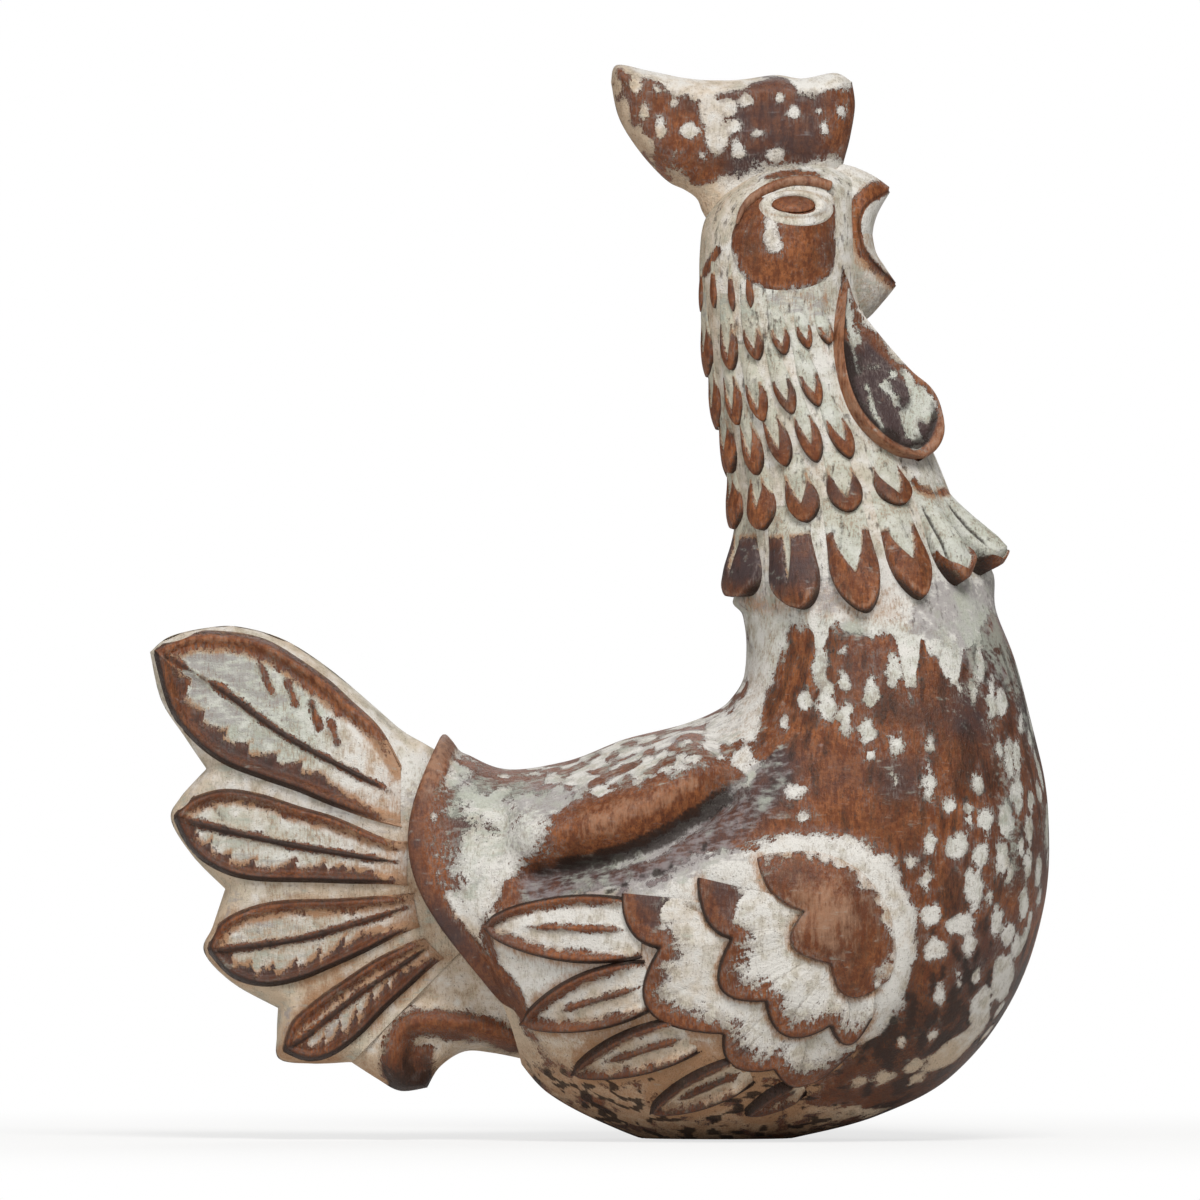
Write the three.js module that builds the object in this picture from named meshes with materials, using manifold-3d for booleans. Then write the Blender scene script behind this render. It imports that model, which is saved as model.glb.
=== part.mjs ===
// Earthenware rooster figurine, built up from pressed and applied clay pieces.
// Millimetres. +X towards the beak, +Y to the bird's left, +Z up; the origin lies on the table under the
// middle of the bird. Two pressed halves make the hollow body, neck and head. The tail, comb, beak, wattles
// and every feather are laid on them and held by thin slip joints.
import * as THREE from "three";
import { mergeVertices } from "three/addons/utils/BufferGeometryUtils.js";
import Module from "manifold-3d";

const wasm = await Module();
wasm.setup();

// Overall size: tail tip to breast, over the pressed halves, and foot to comb. The side views below are drawn
// for a bird of the drawn size and stretched to this one. Thicknesses and joints are not stretched.
const LENGTH = 224.5;
const WIDTH = 92;
const HEIGHT = 268;
const DRAWN = { length: 224.5, width: 92, height: 268 };

// Clay thicknesses and joints
const LUTE = 0.3; // slip joint between two clay pieces
const WALL = 6; // wall of the pressed halves
const VENT_RADIUS = 4; // firing vent in the foot
const VENT_X = 22; // the vent's place along the foot
const FULLNESS = 0.9; // section exponent: 1 is an ellipse, less is fuller

// Body, neck and head in side view, from the rump to the crown: back point, front point and half width.
const STATIONS = [
  { back: [-38.4, 100.2], front: [-20, 19], half: 23 },
  { back: [-25, 92.3], front: [-13, 11.5], half: 30 },
  { back: [-9, 93.8], front: [0, 4.3], half: 36.5 },
  { back: [6.5, 99.5], front: [16, -1.3], half: 41.5 },
  { back: [21, 103.3], front: [33.5, -2.2], half: 44.5 },
  { back: [30, 107.2], front: [51.5, 0.9], half: 46 },
  { back: [34, 111.2], front: [70, 6], half: 46 },
  { back: [35.8, 114.5], front: [88, 15.5], half: 45.5 },
  { back: [36.4, 117.5], front: [102.8, 34], half: 44.5 },
  { back: [36.6, 120.7], front: [111, 58], half: 43 },
  { back: [36.6, 124], front: [112, 81], half: 41 },
  { back: [36.3, 127], front: [109, 100], half: 38.5 },
  { back: [35.6, 131], front: [103.7, 119], half: 36 },
  { back: [34.6, 137.5], front: [97.3, 134.5], half: 33.5 },
  { back: [33.9, 148], front: [92.3, 148], half: 31 },
  { back: [33, 160], front: [87.9, 160], half: 28 },
  { back: [30.8, 172.5], front: [82.6, 172.5], half: 25.5 },
  { back: [28.2, 184.5], front: [75.5, 184.5], half: 23.5 },
  { back: [26.2, 197], front: [69.5, 197], half: 22 },
  { back: [25.1, 209.5], front: [67, 209], half: 21.3 },
  { back: [24.8, 221], front: [67.6, 221], half: 21 },
  { back: [26, 229.5], front: [67.6, 231], half: 19.5 },
  { back: [30.5, 236], front: [64.2, 239.5], half: 16 },
  { back: [38, 241], front: [56, 243.5], half: 9 },
];
const LAST = STATIONS.length - 1;
const SADDLE_END = 8; // station where the back turns up into the neck
const SADDLE_STEPS = 22; // facets along the saddle
const NECK_STEPS = 12; // facets from there to the crown
const BODY_SIDES = 14; // facets over one flank
const CAVITY_STEPS = 18;
const CAVITY_SIDES = 6;
const CAVITY_ENDS = [0.35, 20.4]; // the hollow runs between these stations

// Mantle rim: the back edge of the saddle, bowed out over the root of the tail.
const RIM_BOW = 15;
const RIM_END = 0.8; // share of the section, from the back, that the bow covers
const RIM_FADE = 2; // stations over which the bow dies away

// Back fold: a swelling of each flank's saddle over a groove that climbs to the neck, in side view.
const GROOVE = [[-23, 67.5], [-10, 69.5], [7.5, 73.7], [22.5, 81.5], [35.5, 91]];
const GROOVE_DEEP = 3.6;
const GROOVE_WIDE = 4;
const FOLD_HIGH = 5.2;
const FOLD_WIDE = 24;

// Hackle: rows of neck feathers, from the head down to the collar. The places of the roots and tips are
// station numbers at the nape and at the throat; centres are degrees from the nape, on both sides; flare is
// how much further the tips stand out at the nape and at the throat.
const HACKLE = [
  { root: [19.15, 19.15], tip: [18.75, 18.75], centres: [12, 34, 52, 67], lip: 1.5, flare: [0, 0] },
  { root: [18.9, 18.9], tip: [17.5, 18.35], centres: [14, 45, 65, 84, 101, 116], lip: 1.8, flare: [0, 0] },
  { root: [17.7, 18.5], tip: [16.4, 17.2], centres: [15, 39, 58, 77, 95], lip: 2, flare: [0, 0] },
  { root: [16.6, 17.4], tip: [15.4, 16], centres: [20, 44, 63, 82, 100], lip: 2.3, flare: [0, 0] },
  { root: [15.6, 15.7], tip: [14.3, 15], centres: [14, 42, 68, 92, 119], lip: 2.6, flare: [0, 0] },
  { root: [14.5, 15.15], tip: [12.85, 13.8], centres: [20, 57, 90, 117, 141, 164], lip: 4, flare: [1, 4] },
];
// A feather is a rolled U, open at the root. Across it: how far down its edge reaches there, and the share of
// the lip's height halfway down and at the edge.
const NOTCH = { reach: 0.6, middle: 0.45, edge: 0.5 };
const ARM = { reach: 0.94, middle: 0.95, edge: 0.9 };
const SLIT = { reach: 1, middle: 0.4, edge: 1 };
const FEATHER_MIDDLE = 0.55; // share of the feather's length where its slit is deepest

// Laid feathers: root thickness, and the rise that lets a row lie over the root of the next
const ROOT_THICK = 0.9;
const LAP_RISE = 2;
const LAP = 2; // how far a root reaches under the row above it

// Wing: three tiers of scalloped coverts round the shoulder, over five quills, in side view.
// A scallop runs through its belly point to its cusp.
const SHOULDER = [70, 56];
const COVERTS = [
  {
    name: "upper",
    start: [39, 70.25],
    scallops: [
      { belly: [43, 61.5], cusp: [50.5, 57.25] },
      { belly: [47.5, 49], cusp: [57, 44.75] },
      { belly: [60.5, 37], cusp: [68.5, 38.5] },
    ],
    front: [[42, 71.6], [54, 72], [64.5, 67.5], [71.3, 58.3], [73.3, 47], [71.5, 40.5]],
    lip: 3,
  },
  {
    name: "middle",
    start: [24.75, 65],
    scallops: [
      { belly: [26.7, 55], cusp: [32.75, 50.5] },
      { belly: [30, 38.5], cusp: [41, 35.5] },
      { belly: [46, 27], cusp: [56.75, 29.75] },
      { belly: [61.3, 25], cusp: [67, 31] },
    ],
    lip: 2.6,
  },
  {
    name: "lower",
    start: [6, 61.25],
    scallops: [
      { belly: [8.3, 52], cusp: [15.25, 48.25] },
      { belly: [12.5, 33], cusp: [30.75, 27.5] },
      { belly: [33, 19.7], cusp: [43, 19.25] },
      { belly: [51, 14.5], cusp: [62.75, 22.5] },
    ],
    lip: 2.4,
  },
];
const SCALLOP_STEPS = 4;
const QUILLS = [
  { root: [11, 52.5], tip: [-28.5, 53.5], half: 8.2 },
  { root: [13, 39.5], tip: [-18, 30.5], half: 7.2 },
  { root: [24, 27.5], tip: [-6, 18], half: 5.7 },
  { root: [37, 19], tip: [13, 8.8], half: 4.6 },
  { root: [50.5, 14.2], tip: [36, 7.6], half: 3.2 },
];
const QUILL_LIP = 2.4;
const QUILL_RISE = 0.53; // slip bed under a quill

// Tail fan in side view. Each feather spans from one valley to the next; the valleys run from the mantle rim,
// at a share of the section from the back, out to a notch. A carved leaf lies on each, between two edges.
const TAIL_HALF = 15; // half thickness at the root
const TAIL_TIP_HALF = 6; // half thickness near the tips
const TAIL_EDGE_HALF = 3; // half thickness at the rounded outer edge
const TAIL_EDGE_WIDE = 4.5; // width of that rounding
const TAIL_RUN = 62; // length over which the fan thins
const TAIL_HUB = [-22, 62]; // the feathers point away from here
const RIM_STEP = 3; // how far the mantle rim stands over the tail
const TAIL_FEATHERS = [
  {
    rim: [0.05, 0.33],
    upper: [[-56, 106.8], [-79, 124.3], [-98, 127.6], [-107.5, 125.6]],
    outer: [[-112.5, 121.5], [-109.7, 109.5], [-103.5, 99.8], [-98.4, 92.3]],
    leaf: {
      upper: [[-49.5, 92.5], [-62.3, 109.2], [-75.5, 119.7], [-92, 125.4], [-110, 121.7]],
      lower: [[-49.5, 78], [-67, 83.5], [-84.3, 90], [-100.5, 100], [-110, 121.7]],
    },
  },
  {
    rim: [0.33, 0.46],
    outer: [[-98.4, 92.3], [-105, 85], [-107.2, 79.4], [-101.7, 70.4], [-93.7, 62.3]],
    leaf: {
      upper: [[-48, 74], [-65.7, 80], [-85.3, 86], [-98.5, 85.8], [-105.7, 80]],
      lower: [[-48, 63.5], [-70.5, 64.2], [-86.7, 64.8], [-99.6, 70.4], [-105.7, 80]],
    },
  },
  {
    rim: [0.46, 0.555],
    outer: [[-93.7, 62.3], [-97.4, 53], [-98.7, 47.4], [-91.3, 40], [-80.5, 32.5]],
    leaf: {
      upper: [[-46.5, 61.2], [-65.7, 59.8], [-79.7, 59.3], [-92.8, 54.7], [-97.2, 47.3]],
      lower: [[-45, 53.3], [-58.7, 46.8], [-75, 40.2], [-88.4, 40], [-97.2, 47.3]],
    },
  },
  {
    rim: [0.555, 0.64],
    outer: [[-80.5, 32.5], [-80.8, 25.8], [-79.5, 20.2], [-72, 18.6], [-62, 19]],
    leaf: {
      upper: [[-43.7, 50], [-57.5, 43.7], [-69.2, 35.7], [-76.4, 29.2], [-78.6, 22.2]],
      lower: [[-39, 45.2], [-53.7, 32.5], [-63.7, 23.4], [-72.6, 20], [-78.6, 22.2]],
    },
  },
];
const CURL = {
  outer: [[-62, 19], [-56, 14.5], [-50, 11.8], [-43.5, 13]],
  lower: [[-27, 21.3], [-33, 22.2], [-39.5, 19]],
};
const RIM_FOOT = 0.995; // share of the section where the mantle rim ends under the tail
const CURL_HALF = 9;
const PATCH_ALONG = [0, 0.2, 0.4, 0.6, 0.8, 0.94, 1];
const PATCH_ACROSS = 6;
const TAIL_LIP = 2.6;
const SEAT_DEPTH = 2; // how far the tail reaches into the rim before it is trimmed to it

// Leaf relief, for quills and tail feathers: places across the leaf and share of the lip's height there
const LEAF_ACROSS = [-1, -0.78, -0.4, 0, 0.4, 0.78, 1];
const LEAF_RELIEF = [0.45, 1, 0.3, 0.6, 0.3, 1, 0.45];
const LEAF_STEPS = 5;

// Head pieces in side view
const COMB = {
  top: [
    [3, 264.5],
    [5, 268],
    [13, 266.4],
    [23, 264.8],
    [34, 264.6],
    [43.7, 265.7],
    [50.5, 264.9],
    [58.7, 266.2],
    [63, 264],
  ],
  front: [[61, 244.2], [62.6, 250], [63.8, 258]],
  seat: [[26.5, 230.5], [40, 236], [59, 236]],
  rear: [[17.5, 239.2], [9.8, 246.6], [4.8, 255]],
  half: 8.5,
  edgeHalf: 4,
};
const UPPER_BEAK = {
  outer: [[62, 241.4], [67, 242], [72, 238.2]],
  inner: [[60, 226], [66, 230.5], [71.6, 236.2]],
  half: [12, 1.6],
};
const LOWER_BEAK = {
  outer: [[60, 203.5], [67.2, 205.6], [73.6, 212.7]],
  inner: [[60, 223], [66.5, 218.5], [73.4, 214.2]],
  half: [13, 1.8],
};
const CHEEK = { centre: [46.8, 224.4], half: [13, 12.6], dome: 2.2, rim: 0.8 };
const EYE = { centre: [48.2, 230.8], ring: [9.8, 5.2], pupil: [5.2, 2.3], thick: 1.1, ringWidth: 0.36 };
const BROW = { line: [[34.5, 229.5], [38.5, 235.2], [48.5, 239.4], [57.2, 237.2]], radius: 1.4 };
const WATTLE = {
  rear: [[62.3, 216], [60.4, 206], [60.7, 195], [63.6, 184], [69.5, 174.5], [77.5, 169.3]],
  front: [[63.2, 216.2], [67.8, 204.5], [76, 194.5], [84, 186], [86, 178], [79.5, 169.5]],
  stand: [2.4, 0.3], // how far the rear rim stands off the neck, and the front rim off the middle plane
  thick: 7,
  rim: 1.6,
};

// Clay colours
const CLAY = { color: 0x7a4326, roughness: 0.62 };
const SLIP = { color: 0xd8d4c6, roughness: 0.85 };

// Small helpers

const { lerp, clamp, smoothstep, degToRad } = THREE.MathUtils;

// A drawn side-view place on a bird of this size.
const drawn = ([x, z]) => new THREE.Vector2((x * LENGTH) / DRAWN.length, (z * HEIGHT) / DRAWN.height);
const spline = (points) => new THREE.SplineCurve(points.map(drawn));

function material({ color, roughness }) {
  return new THREE.MeshStandardMaterial({ color, roughness, metalness: 0 });
}

function toSolid(geometry) {
  const bare = geometry.clone();
  bare.deleteAttribute("normal");
  bare.deleteAttribute("uv");
  const merged = mergeVertices(bare, 1e-4);
  const vertProperties = new Float32Array(merged.attributes.position.array);
  const triVerts = new Uint32Array(merged.index.array);
  const solid = new wasm.Manifold(new wasm.Mesh({ numProp: 3, vertProperties, triVerts }));
  return solid;
}

function toGeometry(solid) {
  const { vertProperties, triVerts } = solid.getMesh();
  const geometry = new THREE.BufferGeometry();
  geometry.setAttribute("position", new THREE.BufferAttribute(new Float32Array(vertProperties), 3));
  geometry.setIndex(new THREE.BufferAttribute(new Uint32Array(triVerts), 1));
  return geometry;
}

// The same piece for the other side of the bird.
function mirrored(geometry) {
  const copy = geometry.clone().scale(1, -1, 1);
  const index = copy.index.array;
  for (let i = 0; i < index.length; i += 3) [index[i + 1], index[i + 2]] = [index[i + 2], index[i + 1]];
  return copy;
}

// A closed solid between two grids of points of the same size. A wrapped one closes on itself along the rows.
function slab(top, bottom, wrap = false) {
  const rows = top.length;
  const cols = top[0].length;
  const positions = [...top.flat(), ...bottom.flat()].flatMap((p) => [p.x, p.y, p.z]);
  const id = (layer, i, j) => layer * rows * cols + (i % rows) * cols + j;
  const index = [];
  const quad = (a, b, c, d) => index.push(a, b, c, a, c, d);
  const spans = wrap ? rows : rows - 1;
  for (let i = 0; i < spans; i++) {
    for (let j = 0; j < cols - 1; j++) {
      quad(id(0, i, j), id(0, i + 1, j), id(0, i + 1, j + 1), id(0, i, j + 1));
      quad(id(1, i, j), id(1, i, j + 1), id(1, i + 1, j + 1), id(1, i + 1, j));
    }
    quad(id(0, i, 0), id(1, i, 0), id(1, i + 1, 0), id(0, i + 1, 0));
    quad(id(0, i, cols - 1), id(0, i + 1, cols - 1), id(1, i + 1, cols - 1), id(1, i, cols - 1));
  }
  for (let j = 0; !wrap && j < cols - 1; j++) {
    quad(id(0, 0, j), id(0, 0, j + 1), id(1, 0, j + 1), id(1, 0, j));
    quad(id(0, rows - 1, j), id(1, rows - 1, j), id(1, rows - 1, j + 1), id(0, rows - 1, j + 1));
  }
  return outward(positions, index);
}

// An indexed geometry whose faces point out, without faces that have no area.
function outward(positions, index) {
  const geometry = new THREE.BufferGeometry();
  geometry.setAttribute("position", new THREE.Float32BufferAttribute(positions, 3));
  geometry.setIndex(index);
  const merged = mergeVertices(geometry, 1e-4);
  const place = merged.attributes.position;
  const corner = (i) => new THREE.Vector3().fromBufferAttribute(place, i);
  const faces = [];
  let volume = 0;
  for (let i = 0; i < merged.index.count; i += 3) {
    const [a, b, c] = merged.index.array.slice(i, i + 3);
    if (a === b || b === c || c === a) continue;
    faces.push([a, b, c]);
    volume += corner(a).dot(corner(b).cross(corner(c)));
  }
  merged.setIndex(faces.flatMap(([a, b, c]) => (volume > 0 ? [a, b, c] : [a, c, b])));
  return merged;
}

// Body surface

const BACK = spline(STATIONS.map((s) => s.back));
const FRONT = spline(STATIONS.map((s) => s.front));
const HALF = new THREE.SplineCurve(
  STATIONS.map((s, i) => new THREE.Vector2(i, (s.half * WIDTH) / DRAWN.width)),
);

function rimBow(u, f) {
  const fade = Math.max(0, 1 - u / RIM_FADE);
  return RIM_BOW * fade * fade * Math.sin(Math.PI * Math.min(f / RIM_END, 1));
}

// Side-view place at station u, at share f of the section from the back to the front.
function sidePoint(u, f, grow = 0) {
  const back = BACK.getPoint(u / LAST);
  const front = FRONT.getPoint(u / LAST);
  const chord = front.clone().sub(back).normalize();
  const point = back.lerp(front, f).addScaledVector(chord, grow * (2 * f - 1));
  point.x -= rimBow(u, f);
  return point;
}

function halfWidth(u, f, grow = 0) {
  const half = HALF.getPoint(u / LAST).y + grow;
  return half * Math.pow(2 * Math.sqrt(Math.max(0, f * (1 - f))), FULLNESS);
}

const shareAt = (angle) => (1 - Math.cos(angle)) / 2;

const groove = spline(GROOVE).getPoints(16);

// How far a side-view place lies over the groove, and its share of the way along it.
function besideGroove(x, z) {
  let best = { over: Infinity, share: 0 };
  for (let i = 0; i < groove.length - 1; i++) {
    const run = groove[i + 1].clone().sub(groove[i]);
    const to = new THREE.Vector2(x, z).sub(groove[i]);
    const t = clamp(to.dot(run) / run.lengthSq(), 0, 1);
    const side = run.cross(to) < 0 ? -1 : 1;
    const over = side * to.addScaledVector(run, -t).length();
    if (Math.abs(over) < Math.abs(best.over)) best = { over, share: (i + t) / (groove.length - 1) };
  }
  return best;
}

// How far the back fold and its groove lift the clay off the plain form.
function swell({ x, y, z }) {
  const { over, share } = besideGroove(x, z);
  const ends = smoothstep(share, 0, 0.16) * smoothstep(1 - share, 0, 0.14) * smoothstep(Math.abs(y), 8, 20);
  const fold = FOLD_HIGH * smoothstep(over, -1, 6) * smoothstep(FOLD_WIDE - over, 0, 0.75 * FOLD_WIDE);
  const dip = GROOVE_DEEP * Math.exp(-(((over + 2) / GROOVE_WIDE) ** 2));
  return ends * (fold - dip);
}

// Point and outward normal at station u, at an angle round the section from the back. Positive is left.
function skin(u, angle) {
  const at = (v, a) => {
    const f = shareAt(a);
    const p = sidePoint(v, f);
    return new THREE.Vector3(p.x, Math.sign(Math.sin(a)) * halfWidth(v, f), p.y);
  };
  const du = 0.02;
  const da = 0.02;
  const along = at(Math.min(u + du, LAST), angle).sub(at(Math.max(u - du, 0), angle));
  const round = at(u, angle + da).sub(at(u, angle - da));
  const p = at(u, angle);
  const n = along.cross(round).normalize();
  return { p: p.addScaledVector(n, swell(p)), n };
}

const LATTICE = [];
for (let u = 0; u <= LAST; u += 0.25) {
  for (let f = 0.04; f < 1; f += 0.04) LATTICE.push({ u, f, at: sidePoint(u, f) });
}

// Point and outward normal on the left flank over a side-view place.
function flank(x, z) {
  const far = (s) => (s.at.x - x) ** 2 + (s.at.y - z) ** 2;
  let { u, f } = LATTICE.reduce((best, s) => (far(s) < far(best) ? s : best));
  const d = 1e-3;
  for (let turn = 0; turn < 12; turn++) {
    const p = sidePoint(u, f);
    const pu = sidePoint(u + d, f).sub(p).divideScalar(d);
    const pf = sidePoint(u, f + d).sub(p).divideScalar(d);
    const area = pu.x * pf.y - pu.y * pf.x;
    const ex = x - p.x;
    const ez = z - p.y;
    u = clamp(u + (ex * pf.y - ez * pf.x) / area, 0, LAST - 2 * d);
    f = clamp(f + (pu.x * ez - pu.y * ex) / area, 0.004, 0.996);
  }
  return skin(u, Math.acos(1 - 2 * f));
}

const raise = ({ p, n }, height) => p.clone().addScaledVector(n, height);

// Stations of the facets along the outside, closer together on the saddle.
function outsideStations() {
  const share = (i) => Math.pow(i / SADDLE_STEPS, 1.15);
  const saddle = Array.from({ length: SADDLE_STEPS }, (_, i) => SADDLE_END * share(i));
  const neck = Array.from({ length: NECK_STEPS + 1 }, (_, i) => lerp(SADDLE_END, LAST, i / NECK_STEPS));
  return [...saddle, ...neck];
}

function hollowStations() {
  const share = (i) => Math.pow(i / CAVITY_STEPS, 1.2);
  return Array.from({ length: CAVITY_STEPS + 1 }, (_, i) => lerp(...CAVITY_ENDS, share(i)));
}

// Half of the body as a solid over the middle plane, on the left; the plane lies at floorY.
function bodyHalf(stations, sides, grow, floorY) {
  const top = [];
  const bottom = [];
  for (const u of stations) {
    const ring = [];
    for (let j = 0; j <= sides; j++) {
      const angle = (Math.PI * j) / sides;
      const f = shareAt(angle);
      const p = sidePoint(u, f, grow);
      const at = new THREE.Vector3(p.x, halfWidth(u, f, grow), p.y);
      if (j > 0 && j < sides) at.addScaledVector(skin(u, angle).n, swell(at));
      ring.push(at.setY(Math.max(at.y, floorY)));
    }
    top.push(ring);
    bottom.push(ring.map((at) => at.clone().setY(floorY)));
  }
  return slab(top, bottom);
}

function block(x0, x1, y0, y1, z0, z1) {
  const box = new THREE.BoxGeometry(x1 - x0, y1 - y0, z1 - z0);
  return toSolid(box.translate((x0 + x1) / 2, (y0 + y1) / 2, (z0 + z1) / 2));
}

const REACH = 400; // larger than the bird
const belowTable = block(-REACH, REACH, -REACH, REACH, -REACH, 0);
const vent = new THREE.CylinderGeometry(VENT_RADIUS, VENT_RADIUS, 4 * WALL, 20).rotateX(Math.PI / 2);
const ventHole = toSolid(vent.translate(VENT_X, 0, 0));

function pressedHalf() {
  const outer = toSolid(bodyHalf(outsideStations(), BODY_SIDES, 0, LUTE / 2));
  const hollow = toSolid(bodyHalf(hollowStations(), CAVITY_SIDES, -WALL, -WALL));
  const shell = outer.subtract(hollow).subtract(belowTable).subtract(ventHole);
  return toGeometry(shell);
}

// The whole body, grown by one slip joint, to cut what is seated on it.
function bodyEnvelope() {
  const left = bodyHalf(outsideStations(), BODY_SIDES, LUTE, -1);
  return toSolid(left).add(toSolid(mirrored(left)));
}
const envelope = bodyEnvelope();

// Hackle rows

// Places round the neck, in degrees from the nape: four to a feather, with a last notch where the row ends.
function featherColumns({ centres }, isCollar) {
  const all = [...centres.map((c) => -c).reverse(), ...centres];
  const past = isCollar ? 180 : centres.at(-1) + (centres.at(-1) - centres.at(-2)) / 2;
  const columns = all.flatMap((centre, k) => {
    const before = k === 0 ? -past : (all[k - 1] + centre) / 2;
    const after = k === all.length - 1 ? past : (all[k + 1] + centre) / 2;
    return [
      { degrees: before, ...NOTCH },
      { degrees: (before + centre) / 2, ...ARM },
      { degrees: centre, ...SLIT },
      { degrees: (centre + after) / 2, ...ARM },
    ];
  });
  return isCollar ? columns : [...columns, { degrees: past, ...NOTCH }];
}

function hackleRow(row, isCollar) {
  const top = [];
  const bottom = [];
  for (const { degrees, reach, middle, edge } of featherColumns(row, isCollar)) {
    const angle = degToRad(degrees);
    const f = shareAt(angle);
    const root = lerp(row.root[0], row.root[1], f);
    const tip = lerp(row.tip[0], row.tip[1], f);
    const stand = LUTE + (isCollar ? 0 : LAP_RISE);
    const [nape, throat] = [smoothstep(0.3 - f, 0, 0.3), smoothstep(f, 0.75, 1)];
    const lip = row.lip + row.flare[0] * nape + row.flare[1] * throat;
    const seats = [0, FEATHER_MIDDLE, 1].map((s) => skin(lerp(root, tip, s * reach), angle));
    const rise = [LUTE, lerp(LUTE, stand, FEATHER_MIDDLE * reach), lerp(LUTE, stand, reach)];
    const thick = [ROOT_THICK, Math.max(ROOT_THICK, lip * middle), Math.max(ROOT_THICK, lip * edge)];
    bottom.push(seats.map((seat, k) => raise(seat, rise[k])));
    top.push(seats.map((seat, k) => raise(seat, rise[k] + thick[k])));
  }
  return slab(top, bottom, isCollar);
}

// Wing pieces

// A plate laid on the left flank from rows of side-view places, with a rise and a thickness at each.
function laid(rows) {
  const top = [];
  const bottom = [];
  for (const row of rows) {
    const seats = row.map(({ x, z }) => flank(x, z));
    bottom.push(row.map(({ rise }, j) => raise(seats[j], rise)));
    top.push(row.map(({ rise, thick }, j) => raise(seats[j], rise + thick)));
  }
  return slab(top, bottom);
}

function scallopedEdge({ start, scallops }) {
  const points = [drawn(start)];
  for (const { belly, cusp } of scallops) {
    const from = points.at(-1).clone();
    const to = drawn(cusp);
    const pull = drawn(belly).multiplyScalar(2).sub(from.clone().add(to).multiplyScalar(0.5));
    const curve = new THREE.QuadraticBezierCurve(from, pull, to);
    points.push(...curve.getPoints(SCALLOP_STEPS).slice(1));
  }
  return points;
}

// How far a scalloped edge lies from the shoulder, in the direction of a point.
function edgeRadius(edge, towards) {
  const shoulder = drawn(SHOULDER);
  const bearing = (p) => p.clone().sub(shoulder).angle();
  const wanted = bearing(towards);
  const next = edge.findIndex((p) => bearing(p) > wanted);
  const [a, b] = next < 0 ? [edge.at(-1), edge.at(-1)] : [edge[Math.max(0, next - 1)], edge[next]];
  const share = bearing(b) > bearing(a) ? (wanted - bearing(a)) / (bearing(b) - bearing(a)) : 0;
  return lerp(a.distanceTo(shoulder), b.distanceTo(shoulder), clamp(share, 0, 1));
}

// A tier of coverts: from its front, or from its root under the tier above, out to its scalloped edge.
function covert(tier, above) {
  const edge = scallopedEdge(tier);
  const cover = above && scallopedEdge(above);
  const front = tier.front && spline(tier.front).getPoints(edge.length - 1);
  const shoulder = drawn(SHOULDER);
  const rows = edge.map((outer, i) => {
    const towards = outer.clone().sub(shoulder).normalize();
    const root = cover && shoulder.clone().addScaledVector(towards, edgeRadius(cover, outer) - LAP);
    const inner = root ?? front[i];
    const low = root ? LUTE : LUTE + LAP_RISE;
    return [0, 0.5, 1].map((s) => {
      const { x, y } = inner.clone().lerp(outer, s);
      return { x, z: y, rise: lerp(low, LUTE + LAP_RISE, s * s), thick: lerp(ROOT_THICK, tier.lip, s * s) };
    });
  });
  return laid(rows);
}

const leafWidth = (s) => Math.max(0.12, Math.pow(Math.sin(Math.PI * (0.22 + 0.78 * s)), 0.7));

function quill({ root, tip, half }) {
  const from = drawn(root);
  const axis = drawn(tip).sub(from);
  const across = new THREE.Vector2(-axis.y, axis.x).normalize().multiplyScalar(half);
  const rows = [];
  for (let i = 0; i <= LEAF_STEPS; i++) {
    const s = i / LEAF_STEPS;
    rows.push(
      LEAF_ACROSS.map((v, j) => {
        const at = from.clone().addScaledVector(axis, s).addScaledVector(across, v * leafWidth(s));
        const thick = s === 0 ? ROOT_THICK : lerp(ROOT_THICK, QUILL_LIP * LEAF_RELIEF[j], Math.min(1, 3 * s));
        return { x: at.x, z: at.y, rise: QUILL_RISE, thick };
      }),
    );
  }
  return laid(rows);
}

// Tail

const rimPlace = (f) => sidePoint(0, f).add(new THREE.Vector2(SEAT_DEPTH, 0));

// Side-view patch between four edges: the root edge and the outer edge, both from left to right, and the two
// sides, both from the root outwards.
function patch(root, outer, left, right) {
  const corners = [root.getPoint(0), root.getPoint(1), outer.getPoint(0), outer.getPoint(1)];
  return (s, v) => {
    const sides = left.getPoint(s).lerp(right.getPoint(s), v);
    const ends = root.getPoint(v).lerp(outer.getPoint(v), s);
    const nearRoot = corners[0].clone().lerp(corners[1], v);
    const nearOuter = corners[2].clone().lerp(corners[3], v);
    return sides.add(ends).sub(nearRoot.lerp(nearOuter, s));
  };
}

// One tail piece, from the mantle rim outwards. Its sides are straight unless they are given.
function tailPatch({ rim, upper, lower, outer }) {
  const root = { getPoint: (v) => rimPlace(lerp(rim[0], rim[1], v)) };
  const side = (v, bends = [], to) => new THREE.SplineCurve([root.getPoint(v), ...[...bends, to].map(drawn)]);
  return patch(root, spline(outer), side(0, upper, outer[0]), side(1, lower, outer.at(-1)));
}

// The fan's free edge in side view: over the top, then round the tips.
const fanEdge = [
  ...new THREE.SplineCurve([
    rimPlace(TAIL_FEATHERS[0].rim[0]),
    ...[...TAIL_FEATHERS[0].upper, TAIL_FEATHERS[0].outer[0]].map(drawn),
  ]).getPoints(16),
  ...TAIL_FEATHERS.flatMap(({ outer }) => spline(outer).getPoints(10).slice(1)),
];

function toEdge(p) {
  let best = Infinity;
  for (let i = 0; i < fanEdge.length - 1; i++) {
    const run = fanEdge[i + 1].clone().sub(fanEdge[i]);
    const to = p.clone().sub(fanEdge[i]);
    const t = clamp(to.dot(run) / run.lengthSq(), 0, 1);
    best = Math.min(best, to.addScaledVector(run, -t).length());
  }
  return best;
}

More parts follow.
